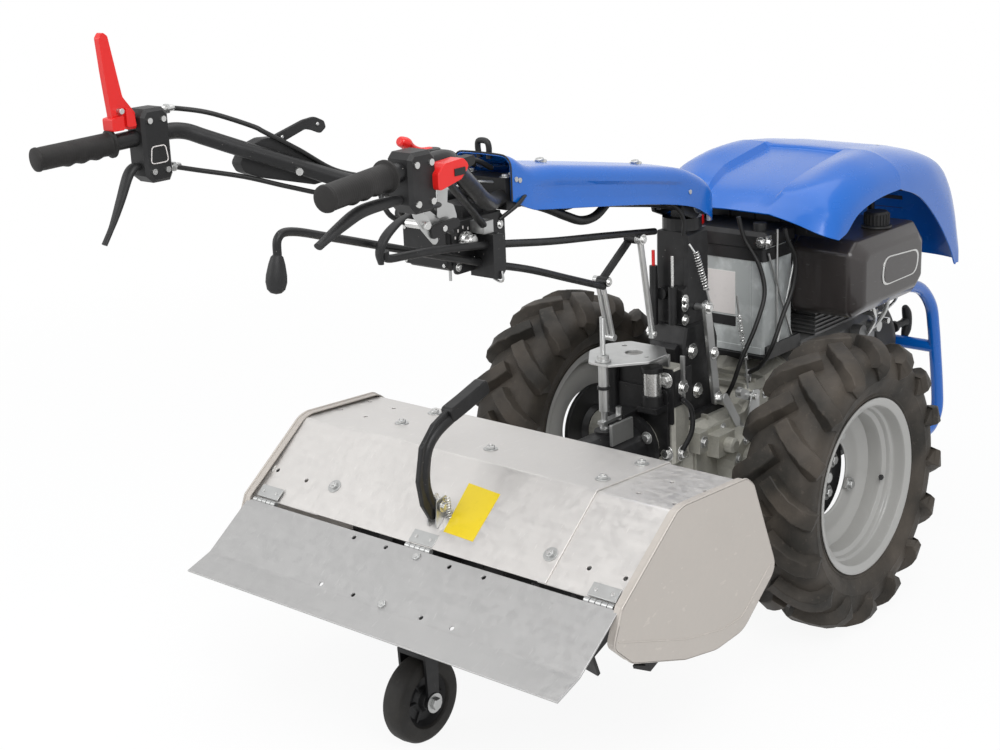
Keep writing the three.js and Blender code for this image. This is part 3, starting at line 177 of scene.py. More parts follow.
# ---- mesh building
class Shape:
    """Faces of one piece, in millimetres from the axle, each with its finish."""

    def __init__(self):
        self.points, self.faces, self.marks, self.finishes = [], [], [], []

    def add(self, points, faces, finish):
        base = len(self.points)
        self.points.extend(Vector(p) for p in points)
        if finish not in self.finishes:
            self.finishes.append(finish)
        mark = self.finishes.index(finish)
        self.faces.extend([base + i for i in face] for face in faces)
        self.marks.extend([mark] * len(faces))
        return self

    def loft(self, rings, finish, caps=True, loop=False):
        """Joins rings of equally many points, one after another."""
        count, total = len(rings[0]), len(rings)
        faces = []
        for k in range(total if loop else total - 1):
            a, b = k * count, ((k + 1) % total) * count
            faces += [[a + i, a + (i + 1) % count, b + (i + 1) % count, b + i] for i in range(count)]
        if caps and not loop:
            faces += [list(range(count))[::-1], [(total - 1) * count + i for i in range(count)]]
        return self.add([p for ring in rings for p in ring], faces, finish)

    def grid(self, rows, finish):
        """An open surface through rows of equally many points."""
        count = len(rows[0])
        faces = [
            [r * count + i, r * count + i + 1, (r + 1) * count + i + 1, (r + 1) * count + i]
            for r in range(len(rows) - 1)
            for i in range(count - 1)
        ]
        return self.add([p for row in rows for p in row], faces, finish)

    def tube(self, path, radius, finish, sides=16, flat=1.0):
        """A round bar along a path; `radius` may be a list, one for each point, and `flat` squeezes it."""
        path = [Vector(p) for p in path]
        radii = radius if isinstance(radius, (list, tuple)) else [radius] * len(path)
        ways = [(path[1] - path[0]).normalized(), *[(path[i + 1] - path[i - 1]).normalized()
                for i in range(1, len(path) - 1)], (path[-1] - path[-2]).normalized()]
        across, up = square_to(ways[0])
        rings = []
        for i, (point, way) in enumerate(zip(path, ways)):
            across = (across - way * across.dot(way)).normalized()
            up = way.cross(across)
            rings.append([
                point + radii[i] * (math.cos(t) * across + flat * math.sin(t) * up)
                for t in (2 * math.pi * k / sides for k in range(sides))
            ])
        return self.loft(rings, finish)

    def turn(self, profile, centre, axis, finish, segments=64, loop=False):
        """Turns a profile of (radius, distance along the axis) about the axis."""
        axis = Vector(axis).normalized()
        across, up = square_to(axis)
        centre = Vector(centre)
        rings = []
        for k in range(segments):
            t = 2 * math.pi * k / segments
            out = math.cos(t) * across + math.sin(t) * up
            rings.append([centre + axis * h + out * r for r, h in profile])
        count = len(profile)
        faces = []
        for k in range(segments):
            a, b = k * count, ((k + 1) % segments) * count
            for i in range(count if loop else count - 1):
                j = (i + 1) % count
                faces.append([a + i, a + j, b + j, b + i])
        return self.add([p for ring in rings for p in ring], faces, finish)

    def prism(self, outline, span, plane, finish):
        """A flat outline drawn in a plane ('xz', 'xy' or 'yz') and pulled along the third axis."""
        place = {
            "xz": lambda a, b, d: (a, d, b),
            "xy": lambda a, b, d: (a, b, d),
            "yz": lambda a, b, d: (d, a, b),
        }[plane]
        return self.loft([[place(a, b, d) for a, b in outline] for d in span], finish)

    def block(self, x, y, z, finish):
        return self.prism([(x[0], y[0]), (x[1], y[0]), (x[1], y[1]), (x[0], y[1])], z, "xy", finish)

    def bolt(self, at, normal, size, finish, washer=True, length=None):
        """A hexagon head on a washer; `size` is the width across its flats."""
        at, normal = Vector(at), Vector(normal).normalized()
        across, up = square_to(normal)
        tall = size * 0.38 if length is None else length

        def ring(radius, height, sides):
            return [at + normal * height + radius * (math.cos(t) * across + math.sin(t) * up)
                    for t in (2 * math.pi * k / sides for k in range(sides))]

        base = 0.0
        if washer:
            self.loft([ring(size * 0.92, 0, 20), ring(size * 0.92, size * 0.1, 20)], finish)
            base = size * 0.1
        hexagon = size * 0.577
        self.loft([ring(hexagon, base, 6), ring(hexagon, base + tall * 0.82, 6),
                   ring(hexagon * 0.86, base + tall, 6)], finish)
        return self

    def spring(self, start, end, radius, turns, wire, finish):
        start, end = Vector(start), Vector(end)
        across, up = square_to(end - start)
        steps = turns * 12
        path = [start.lerp(end, k / steps) + radius * (math.cos(k * math.pi / 6) * across
                + math.sin(k * math.pi / 6) * up) for k in range(steps + 1)]
        return self.tube(path, wire, finish, sides=6)

    def moved(self, change):
        self.points = [change(p) for p in self.points]
        return self

    def piece(self, name, body, stands_for=(), slot=None, bevel=0.0, wall=0.0, angle=38.0, rounds=2):
        """Makes the Blender object, lets it ride on a body and says which CAD nodes it stands for."""
        mesh = bpy.data.meshes.new(name)
        mesh.from_pydata([spot(p) for p in self.points], [], self.faces)
        for finish in self.finishes:
            mesh.materials.append(FINISHES[finish])
        mesh.polygons.foreach_set("material_index", self.marks)
        work = bmesh.new()
        work.from_mesh(mesh)
        bmesh.ops.remove_doubles(work, verts=work.verts, dist=2e-6)
        bmesh.ops.recalc_face_normals(work, faces=work.faces)
        for face in work.faces:
            face.smooth = True
        for edge in work.edges:
            edge.smooth = not edge.is_manifold or edge.calc_face_angle(0) < math.radians(angle)
        work.to_mesh(mesh)
        work.free()
        thing = bpy.data.objects.new(name, mesh)
        bpy.context.scene.collection.objects.link(thing)
        if wall:
            sheet = thing.modifiers.new("wall", "SOLIDIFY")
            sheet.thickness = wall / 1000
            sheet.offset = -1
        if bevel:
            soften(thing, bevel, rounds)
        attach(thing, body)
        if stands_for:
            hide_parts(*([stands_for] if isinstance(stands_for, str) else stands_for))
        return thing


HARD_EDGE = math.radians(32)


def soften(thing, width, rounds=2):
    """Rounds the hard edges of an object by `width` millimetres."""
    edge = thing.modifiers.new("edge", "BEVEL")
    edge.width = width / 1000
    edge.segments = rounds
    edge.limit_method = "ANGLE"
    edge.angle_limit = HARD_EDGE
    edge.use_clamp_overlap = True
    even = thing.modifiers.new("even", "WEIGHTED_NORMAL")
    even.keep_sharp = False
    return thing


def drilled(thing, holes):
    """Cuts round holes, each (place, direction, radius, depth), through an object and keeps the result."""
    cutter = Shape()
    for at, normal, radius, depth in holes:
        at, normal = Vector(at), Vector(normal).normalized()
        across, up = square_to(normal)
        turns = [k * math.pi / 10 for k in range(20)]
        rings = [[at + normal * d + radius * (math.cos(t) * across + math.sin(t) * up)
                  for t in turns] for d in (-depth, depth)]
        cutter.loft(rings, None)
    mesh = bpy.data.meshes.new("cutter")
    mesh.from_pydata([spot(p) for p in cutter.points], [], cutter.faces)
    work = bmesh.new()
    work.from_mesh(mesh)
    bmesh.ops.recalc_face_normals(work, faces=work.faces)
    work.to_mesh(mesh)
    work.free()
    tool = bpy.data.objects.new("cutter", mesh)
    bpy.context.scene.collection.objects.link(tool)
    cut = thing.modifiers.new("cut", "BOOLEAN")
    cut.operation = "DIFFERENCE"
    cut.object = tool
    cut.solver = "EXACT"
    bpy.context.view_layer.update()
    result = bpy.data.meshes.new_from_object(thing.evaluated_get(bpy.context.evaluated_depsgraph_get()))
    thing.modifiers.remove(cut)
    thing.data = result
    bpy.data.objects.remove(tool)
    return thing


# ---- finishes
class Value:
    """A node socket that takes part in Python arithmetic."""

    def __init__(self, look, socket):
        self.look, self.socket = look, socket

    def _with(self, operation, first, second):
        return self.look.node("ShaderNodeMath", {"operation": operation}, {0: first, 1: second})

    def __add__(self, other):
        return self._with("ADD", self, other)

    __radd__ = __add__

    def __sub__(self, other):
        return self._with("SUBTRACT", self, other)

    def __rsub__(self, other):
        return self._with("SUBTRACT", other, self)

    def __mul__(self, other):
        return self._with("MULTIPLY", self, other)

    __rmul__ = __mul__

    def __truediv__(self, other):
        return self._with("DIVIDE", self, other)

    def __rtruediv__(self, other):
        return self._with("DIVIDE", other, self)

    def clamped(self):
        return self.look.node("ShaderNodeClamp", None, {0: self})


class Nodes:
    """A node tree whose nodes are all made by one method."""

    def __init__(self, tree):
        self.tree = tree
        self.tree.nodes.clear()

    def node(self, kind, settings=None, inputs=None, output=0):
        made = self.tree.nodes.new(kind)
        for key, value in (settings or {}).items():
            if key == "stops":
                for k, (at, shade) in enumerate(value):
                    stop = made.color_ramp.elements[k] if k < 2 else made.color_ramp.elements.new(at)
                    stop.position, stop.color = at, (shade, shade, shade, 1)
            else:
                setattr(made, key, value)
        for key, value in (inputs or {}).items():
            if isinstance(value, Value):
                self.tree.links.new(value.socket, made.inputs[key])
            else:
                made.inputs[key].default_value = value
        return Value(self, made.outputs[output]) if len(made.outputs) else None


class Look(Nodes):
    """A material and its nodes."""

    def __init__(self, name):
        self.material = bpy.data.materials.new(name)
        self.material.use_nodes = True
        super().__init__(self.material.node_tree)
        self.place = self.node("ShaderNodeTexCoord", output="Object")

    def stretched(self, x, y, z):
        return self.node("ShaderNodeVectorMath", {"operation": "MULTIPLY"}, {0: self.place, 1: (x, y, z)})

    def noise(self, scale, detail=3.0, place=None):
        return self.node("ShaderNodeTexNoise", None,
                         {"Vector": place or self.place, "Scale": scale, "Detail": detail})

    def patches(self, scale, low, high, detail=4.0, place=None):
        """Noise turned into patches between 0 and 1."""
        return self.node("ShaderNodeValToRGB", {"stops": ((low, 0.0), (high, 1.0))},
                         {0: self.noise(scale, detail, place)})

    def mix(self, share, first, second):
        return self.node("ShaderNodeMix", {"data_type": "RGBA"},
                         {0: share, 6: shade(first), 7: shade(second)}, output=2)

    def bump(self, height, strength, distance=0.001):
        return self.node("ShaderNodeBump", None, {"Height": height, "Strength": strength,
                                                  "Distance": distance})

    def surface(self, colour, roughness, metal=0.0, coat=0.0, normal=None, **more):
        inputs = {"Base Color": shade(colour), "Roughness": roughness, "Metallic": metal, "Coat Weight": coat}
        if normal is not None:
            inputs["Normal"] = normal
        inputs.update(more)
        body = self.node("ShaderNodeBsdfPrincipled", None, inputs)
        self.node("ShaderNodeOutputMaterial", None, {"Surface": body})
        return self.material


def shade(colour):
    """A colour as four numbers, or a link as it is."""
    return colour if isinstance(colour, Value) or len(colour) == 4 else (*colour, 1.0)


def scaled(colour, factor):
    return tuple(min(1.0, part * factor) for part in colour[:3])


def gloss_paint(name, colour, roughness=0.26, coat=0.32, dust=0.012):
    """Sprayed enamel: slight orange peel, faint dust and a few fine scuffs."""
    look = Look(name)
    cloud = look.noise(5.0, 2.0)
    base = look.mix(cloud, scaled(colour, 0.93), scaled(colour, 1.07))
    scuffs = look.patches(60.0, 0.66, 0.72, 6.0, look.stretched(1.0, 1.0, 4.0))
    base = look.mix((scuffs * dust).clamped(), base, (0.55, 0.56, 0.58))
    rough = look.noise(40.0, 4.0) * 0.10 + scuffs * 0.03 + (roughness - 0.05)
    peel = look.noise(420.0, 2.0)
    return look.surface(base, rough, coat=coat, normal=look.bump(peel, 0.05, 0.0005),
                        **{"Coat Roughness": 0.08, "Specular IOR Level": 0.36})


def powder_coat(name, colour, roughness=0.42, worn=0.35):
    """Black powder coat: fine texture, greyish handling marks and chipped specks."""
    look = Look(name)
    marks = look.patches(28.0, 0.52, 0.70, 5.0)
    base = look.mix((marks * worn).clamped(), colour, scaled(colour, 3.2))
    chips = look.patches(230.0, 0.735, 0.75, 3.0)
    base = look.mix((chips * 0.7).clamped(), base, (0.30, 0.28, 0.26))
    rough = look.noise(60.0, 5.0) * 0.22 + (roughness - 0.1)
    return look.surface(base, rough, coat=0.05, normal=look.bump(look.noise(700.0, 3.0), 0.18, 0.0006),
                        **{"Specular IOR Level": 0.3})


def moulded(name, colour, roughness=0.5, grain=900.0):
    """Moulded plastic: a fine even grain with rubbed patches."""
    look = Look(name)
    rubbed = look.patches(22.0, 0.50, 0.75)
    base = look.mix(rubbed, scaled(colour, 0.9), scaled(colour, 1.5))
    rough = look.noise(35.0, 4.0) * 0.2 + (roughness - 0.1)
    return look.surface(base, rough, normal=look.bump(look.noise(grain, 2.0), 0.22, 0.0005),
                        **{"Specular IOR Level": 0.3})


def sheet_zinc(name, light, dark, metal=0.75, roughness=0.42):
    """Galvanised sheet: soft spangle, rolling streaks and light scratches."""
    look = Look(name)
    spangle = look.node("ShaderNodeTexVoronoi", {"feature": "F1"}, {"Vector": look.place, "Scale": 85.0},
                        output="Color")
    tone = look.node("ShaderNodeSeparateColor", None, {0: spangle})
    streaks = look.noise(9.0, 6.0, look.stretched(14.0, 1.0, 14.0))
    cloud = look.noise(7.0, 3.0)
    share = (tone * 0.22 + streaks * 0.45 + cloud * 0.5 - 0.1).clamped()
    scratches = look.patches(38.0, 0.66, 0.70, 6.0, look.stretched(1.0, 9.0, 2.0))
    base = look.mix(share, dark, light)
    base = look.mix((scratches * 0.35).clamped(), base, scaled(light, 1.25))
    rough = tone * 0.10 + streaks * 0.12 + (roughness - 0.1)
    height = tone * 0.3 + look.noise(500.0, 3.0) * 0.5
    return look.surface(base, rough, metal=metal, normal=look.bump(height, 0.08, 0.0006))


def plated(name, colour, roughness=0.26):
    """Bright zinc plate: small tone changes and a slightly dull surface."""
    look = Look(name)
    cloud = look.noise(22.0, 3.0)
    base = look.mix(cloud, scaled(colour, 0.78), scaled(colour, 1.06))
    rough = look.noise(90.0, 4.0) * 0.2 + (roughness - 0.08)
    return look.surface(base, rough, metal=0.92, normal=look.bump(look.noise(300.0, 2.0), 0.03, 0.0003))


def cast_metal(name, colour, metal=0.55, roughness=0.55, grit=0.45):
    """Sand-cast alloy: coarse skin, dark oily hollows and lighter high spots."""
    look = Look(name)
    grain = look.noise(260.0, 5.0)
    oil = look.patches(14.0, 0.40, 0.68, 5.0)
    base = look.mix(grain, scaled(colour, 0.75), scaled(colour, 1.2))
    base = look.mix((oil * 0.45).clamped(), base, scaled(colour, 0.42))
    rough = grain * 0.25 + (roughness - 0.12)
    return look.surface(base, rough, metal=metal, normal=look.bump(grain, grit, 0.0012))


def tyre_rubber(name, colour, dust):
    """Farm tyre rubber: dry brown bloom, mould marks and a rough skin."""
    look = Look(name)
    bloom = look.patches(11.0, 0.36, 0.74, 6.0)
    specks = look.patches(120.0, 0.62, 0.72, 4.0)
    base = look.mix((bloom * 0.85).clamped(), colour, dust)
    base = look.mix((specks * 0.25).clamped(), base, scaled(dust, 1.35))
    rough = look.noise(50.0, 5.0) * 0.25 + 0.50
    height = look.noise(330.0, 4.0) + specks * 0.4
    return look.surface(base, rough, normal=look.bump(height, 0.30, 0.001), **{"Specular IOR Level": 0.3})


def plain_label(name, colour):
    """A blank printed plate with faint rubbing."""
    look = Look(name)
    rub = look.patches(90.0, 0.55, 0.75)
    base = look.mix((rub * 0.3).clamped(), colour, scaled(colour, 0.82))
    return look.surface(base, look.noise(60.0, 3.0) * 0.2 + 0.3, coat=0.2)


FINISHES = {}


def make_finishes():
    """Every finish of the machine, by a plain name."""
    FINISHES.update(
        blue=gloss_paint("blue_enamel", tuple(sizes().paint)),
        tank=gloss_paint("tank_enamel", (0.030, 0.025, 0.024), 0.36, 0.40, 0.06),
        silver=gloss_paint("silver_enamel", (0.36, 0.355, 0.34), 0.36, 0.30, 0.10),
        red=gloss_paint("red_plastic", (0.66, 0.012, 0.010), 0.34, 0.20, 0.02),
        yellow=plain_label("yellow_sign", (0.74, 0.55, 0.012)),
        label=plain_label("pale_label", (0.72, 0.68, 0.66)),
        black=powder_coat("black_coat", (0.010, 0.010, 0.0105)),
        tine=powder_coat("tine_coat", (0.013, 0.012, 0.012), 0.5, 0.6),
        plastic=moulded("black_plastic", (0.016, 0.016, 0.0165)),
        grip=moulded("grip_rubber", (0.014, 0.013, 0.0125), 0.62, 500.0),
        sheath=moulded("cable_sheath", (0.011, 0.011, 0.011), 0.42, 700.0),
        case=moulded("battery_case", (0.44, 0.46, 0.455), 0.42, 600.0),
        zinc=sheet_zinc("galvanised_sheet", (0.65, 0.63, 0.61), (0.57, 0.553, 0.537)),
        flap=sheet_zinc("flap_sheet_zinc", (0.45, 0.445, 0.44), (0.38, 0.378, 0.375)),
        end=sheet_zinc("end_plate_grey", (0.50, 0.46, 0.42), (0.43, 0.395, 0.36), 0.2, 0.46),
        plate=plated("zinc_plate", (0.50, 0.505, 0.50), 0.34),
        bright=plated("bright_steel", (0.62, 0.62, 0.61), 0.24),
        cast=cast_metal("cast_alloy", (0.46, 0.45, 0.40)),
        engine=cast_metal("engine_alloy", (0.20, 0.20, 0.20), 0.5, 0.5, 0.35),
        exhaust=cast_metal("exhaust_steel", (0.33, 0.31, 0.28), 0.8, 0.5, 0.2),
        tyre=tyre_rubber("tyre_rubber", (0.018, 0.016, 0.013), (0.086, 0.071, 0.057)),
        castor=tyre_rubber("castor_rubber", (0.016, 0.015, 0.014), (0.035, 0.032, 0.028)),
    )


def dress(node, finish, bevel=1.0, rounds=2):
    """Gives a CAD node its finish and soft edges; its shape stays."""
    thing = frame["nodes"][node]
    thing.data.materials.clear()
    thing.data.materials.append(FINISHES[finish])
    if bevel:
        flat = thing.modifiers.new("flat", "DECIMATE")
        flat.decimate_type = "DISSOLVE"
        flat.angle_limit = math.radians(0.5)
        soften(thing, bevel, rounds)
    thing.data.polygons.foreach_set("use_smooth", [True] * len(thing.data.polygons))
    thing.data.set_sharp_from_angle(angle=HARD_EDGE)
    return thing


# ---- sizes and colours a user may change
class TractorSizes(bpy.types.PropertyGroup):
    """Sizes and colours of the tractor that can be changed before its pieces are built."""

    paint: bpy.props.FloatVectorProperty(
        name="Paint", description="Colour of the cowl, handle cover and guard", default=(0.001, 0.112, 0.480),
        size=3, min=0.0, max=1.0, subtype="COLOR")
    lug_count: bpy.props.IntProperty(name="Lugs a side",
                                     description="Number of tread lugs on each side of a drive tyre",
                                     default=16, min=8, max=30)
    lug_height: bpy.props.FloatProperty(name="Lug height", description="Height of the tread lugs",
                                        default=0.021, unit="LENGTH", subtype="DISTANCE")
    lug_width: bpy.props.FloatProperty(name="Lug width", description="Width of a lug at its top",
                                       default=0.028, unit="LENGTH", subtype="DISTANCE")
    sheet: bpy.props.FloatProperty(
        name="Sheet", description="Thickness of the hood's sheet steel", default=0.003, unit="LENGTH",
        subtype="DISTANCE")
    grip_ribs: bpy.props.IntProperty(
        name="Grip ribs", description="Number of ribs along each hand grip", default=26, min=4, max=60)
    fin_count: bpy.props.IntProperty(
        name="Cooling fins", description="Number of fins on the cylinder", default=7, min=3, max=20)


class StageSizes(bpy.types.PropertyGroup):
    """Light, floor and camera of the stage."""

    lamp: bpy.props.FloatProperty(
        name="Key lamp", description="Power of the key lamp", default=120.0, min=0.0, unit="POWER")
    fill: bpy.props.FloatProperty(
        name="Fill lamp", description="Power of the fill lamp", default=45.0, min=0.0, unit="POWER")
    sky: bpy.props.FloatProperty(
        name="Sky", description="Strength of the even light from all round", default=0.5, min=0.0)
    camera_place: bpy.props.FloatVectorProperty(
        name="Camera", description="Place of the camera from the axle's point on the ground", size=3,
        default=(-2.702, -1.844, 1.434), unit="LENGTH", subtype="TRANSLATION")
    camera_yaw: bpy.props.FloatProperty(
        name="Yaw", description="Direction of the view, from forward to the left", default=math.radians(41.2),
        unit="ROTATION", subtype="ANGLE")
    camera_pitch: bpy.props.FloatProperty(
        name="Pitch", description="How far the view looks down", default=math.radians(16.85), unit="ROTATION",
        subtype="ANGLE")
    camera_roll: bpy.props.FloatProperty(
        name="Roll", description="Turn of the camera about its view", default=math.radians(-2.43),
        unit="ROTATION", subtype="ANGLE")
    lens: bpy.props.FloatProperty(
        name="Lens", description="Focal length", default=61.7, min=10.0, subtype="DISTANCE_CAMERA")


def sizes():
    return bpy.context.scene.tractor_sizes


# ---- drive wheels
CARCASS = [(257, 0), (257, 26), (254, 46), (247, 60), (236, 68), (222, 71.5)]


def wheel_frame(side):
    """A function from (angle from the top towards the front, radius, distance outwards) to a point."""
    def place(angle, radius, out):
        return Vector((radius * math.sin(angle), side * (WHEEL_Y + out), AXLE_Z + radius * math.cos(angle)))
    return place


def carcass_at(distance):
    """Point (radius, outwards) and outward direction on the carcass, by distance from its middle line."""
    spent = 0.0
    for (r0, y0), (r1, y1) in zip(CARCASS, CARCASS[1:]):
        length = math.hypot(r1 - r0, y1 - y0)
        if spent + length >= distance or (r1, y1) == CARCASS[-1]:
            t = min((distance - spent) / length, 1.0)
            return (r0 + t * (r1 - r0), y0 + t * (y1 - y0))
        spent += length


LUG_REACH = 98.0  # length of a lug over the carcass, from its middle
LUG_LEAD = 0.30  # angle by which a lug's middle end leads its outer end
LUG_STATIONS = 11
LUG_TOE, LUG_TOE_RUN = 0.22, 0.24  # share of the height left at the toe, and of the length where it falls


def add_lugs(shape, side, rubber):
    """Two rows of slanted tread lugs."""
    place = wheel_frame(side)
    count, high, wide = sizes().lug_count, sizes().lug_height * 1000, sizes().lug_width * 1000
    for hand in (1, -1):
        for n in range(count):
            start = 2 * math.pi * (n + (0.5 if hand < 0 else 0.0)) / count
            line = []
            for k in range(LUG_STATIONS):
                t = k / (LUG_STATIONS - 1)
                radius, out = carcass_at(LUG_REACH * t)
                ahead_radius, ahead_out = carcass_at(LUG_REACH * t + 1.0)
                slope = math.atan2(ahead_out - out, radius - ahead_radius)
                lift = (math.sin(slope), math.cos(slope))
                angle = start + LUG_LEAD * (1 - t) ** 1.25
                line.append((angle, radius, hand * out, lift, t))
            rings = []
            centres = [place(a, r, o) for a, r, o, *_ in line]
            for k, (angle, radius, out, lift, t) in enumerate(line):
                way = (centres[min(k + 1, LUG_STATIONS - 1)] - centres[max(k - 1, 0)]).normalized()
                up = (place(angle, radius + lift[0], out + hand * lift[1]) - centres[k]).normalized()
                across = way.cross(up).normalized()
                height = high * (LUG_TOE + (1 - LUG_TOE) * min(1.0, (1 - t) / LUG_TOE_RUN))
                half = wide * (0.5 + 0.10 * t)
                section = [(-half - 5, -4), (-half, height - 1.5), (-half + 2, height), (half - 2, height),
                           (half, height - 1.5), (half + 5, -4)]
                rings.append([centres[k] + across * a + up * b for a, b in section])
            shape.loft(rings, rubber)


def drive_tyre(side, label):
    rubber = "tyre"
    tyre = Shape()
    inner = [(154, 50), (160, 56), (171, 58), (174, 61), (176, 61), (178, 60), (188, 67), (203, 71.5),
             (206, 72.8), (209, 71.9)]
    half = [*inner, *reversed(CARCASS[1:])]
    outline = [*half, (257, 0), *[(r, -y) for r, y in reversed(half)]]
    profile = smooth([(r, y, 0) for r, y in outline], 2)
    tyre.turn([(p.x, p.y) for p in profile], (0, side * WHEEL_Y, AXLE_Z), (0, side, 0), rubber, 96, loop=True)
    add_lugs(tyre, side, rubber)
    tyre.piece(f"drive_tyre_{label}", f"wheel_{label}", f"tyre_{label}", "tyre_rubber", bevel=1.2, angle=34)


def drive_rim(side, label):
    silver, dark = "silver", "black"
    centre = (0, side * WHEEL_Y, AXLE_Z)
    face = [(169, 59), (168, 61), (165, 61.5), (162, 60), (157, 58.5), (153, 56), (151.5, 50), (151.3, 36),
            (149, 31), (144.5, 29), (143, 25), (142.5, 21), (139, 18.5), (135, 16), (133, 8), (133, -10),
            (133, -30), (141, -36), (148, -40), (151, -46), (152, -56), (158, -59), (169, -60)]
    back = [(r + 3.2, y) for r, y in reversed(face[1:-1])]
    back = [(min(r, 151.8) if abs(y) < 56 else min(r, 168.5), y) for r, y in back]
    rim = Shape().turn([*face, *back], centre, (0, side, 0), silver, 96, loop=True)
    disc = [(134.5, -12), (128, -16), (118, -24), (108, -27), (78, -27), (75, -29), (75, -31), (78, -33),
            (110, -33), (120, -29), (130, -21), (134.5, -18)]
    rim.turn(disc, centre, (0, side, 0), silver, 96, loop=True)
    place = wheel_frame(side)
    for k in range(4):
        turn = math.radians(25 + 90 * k)
        corners = [(-0.14, 70), (0.14, 70), (0.10, 98), (0.0, 104), (-0.10, 98)]
        rim.loft([[place(turn + a, r, out) for a, r in corners] for out in (-26.6, -20)], silver)
        rim.bolt(place(turn, 84, -20), (0, side, 0), 15, "plate")
    rim.piece(f"wheel_rim_{label}", f"wheel_{label}", f"rim_{label}", "rim_silver", bevel=0.8, angle=30)
    hub = Shape()
    hub.turn([(0, -34), (30, -34), (34, -38), (34, -44), (66, -46), (88, -46), (90, -50), (88, -56),
              (46, -58), (40, -70), (0, -70)], centre, (0, side, 0), dark, 64)
    for k in range(5):
        hub.bolt(place(2 * math.pi * k / 5, 54, -45), (0, side, 0), 17, "plate")
    hub.turn([(0, -20), (9, -20), (11, -22), (11, -34), (0, -34)], centre, (0, side, 0), "plate", 24)
    hub.piece(f"wheel_hub_{label}", f"wheel_{label}", bevel=0.8)
    stem = Shape()
    foot, tip = place(math.radians(103), 141, 14), place(math.radians(103), 121, 24)
    stem.tube([foot, foot.lerp(tip, 0.4), foot.lerp(tip, 0.42), tip], [5, 5, 4, 4], "plastic", 14)
    stem.piece(f"valve_stem_{label}", f"wheel_{label}", bevel=0.6)


def tail_wheel():
    rubber, plastic = "castor", "plastic"
    centre = (TAIL_X, 0, TAIL_Z)
    low, high = edges("tail_wheel")[2]
    radius = (high - low) / 2
    wheel = Shape()
    half = 21.5
    tread = [(46, 17), (49, half), (radius - 12, half + 0.3), (radius - 5, half - 3),
             (radius - 1.2, half - 9)]
    outline = [*tread, (radius, 0), *[(r, -y) for r, y in reversed(tread)]]
    wheel.turn(outline, centre, (0, 1, 0), rubber, 72, loop=True)
    disc = [(8, 23), (16, 23), (18, 12), (24, 6), (38, 6), (43, 12), (46.5, 16.5)]
    wheel.turn([*disc, *[(r, -y) for r, y in reversed(disc)]], centre, (0, 1, 0), plastic, 48, loop=True)
    for k in range(6):
        turn = k * math.pi / 3
        way = Vector((math.cos(turn), 0, math.sin(turn)))
        for hand in (1, -1):
            start = Vector(centre) + way * 16 + Vector((0, hand * 8, 0))
            wheel.tube([start, start + way * 28], 2.6, plastic, 8)
    wheel.piece("castor_wheel", "tail_wheel", "tail_wheel", "tail_wheel_rubber", bevel=1.0)
    axle = Shape()
    for hand in (1, -1):
        axle.bolt((TAIL_X, hand * 32.2, TAIL_Z), (0, hand, 0), 19, "plate")
    axle.piece("castor_axle_nuts", "chassis", bevel=0.4)
    dress("tail_wheel_fork", "black", 2.0, 3)


# ---- cowl and guard
COWL_SHARES = [0, 0.37, 0.42, 0.67, 0.87, 0.97, 1]
COWL_SECTIONS = [
    ([104, 106, 106, 110, 118, 134, 150], [750, 748, 748, 734, 718, 708, 702]),
    ([132, 132, 132, 134, 140, 152, 164], [766, 764, 768, 764, 744, 722, 706]),
    ([165, 165, 165, 166, 168, 174, 182], [782, 780, 790, 792, 770, 742, 712]),
    ([225] * 7, [796, 794, 805, 812, 795, 768, 740]),
    ([300] * 7, [808, 806, 818, 828, 810, 786, 756]),
    ([385] * 7, [820, 818, 830, 832, 813, 788, 760]),
    ([405] * 7, [830, 829, 832, 830, 812, 787, 756]),
    ([480] * 7, [826, 826, 825, 822, 805, 774, 728]),
    ([560] * 7, [814, 814, 813, 808, 790, 748, 664]),
    ([620] * 7, [800, 800, 799, 790, 766, 696, 596]),
    ([662, 662, 662, 660, 655, 650, 644], [776, 776, 775, 764, 732, 650, 556]),
    ([694, 694, 694, 690, 680, 664, 652], [722, 722, 721, 712, 682, 612, 556]),
    ([706, 706, 706, 702, 690, 672, 658], [630, 630, 630, 628, 618, 590, 556]),
    ([708, 708, 708, 704, 692, 674, 662], [556, 556, 556, 556, 556, 556, 555]),
]


LEFT_TAPER, LEFT_TAPER_START, LEFT_TAPER_RUN = 0.34, 240, 136  # how the left rear corner draws in


def cowl_rows(half_width, along=5, across=4):
    """The outer skin: smooth lines along it, then smooth sections with a crease by the centre panel."""
    lines = []
    for i, share in enumerate(COWL_SHARES):
        lines.append(smooth([(x[i], -half_width * share, z[i]) for x, z in COWL_SECTIONS], along))
    rows = []
    for section in zip(*lines):
        panel = [section[0].lerp(section[1], k / 3) for k in range(3)]
        flank = smooth(section[2:], across)
        half = [*panel, section[1], *flank]
        left = []
        for p in half[1:]:
            drawn_in = LEFT_TAPER * max(0.0, (LEFT_TAPER_START - p.x) / LEFT_TAPER_RUN)
            left.append(Vector((p.x, -p.y * (1 - drawn_in), p.z)))
        rows.append([*reversed(half), *left])
    return rows


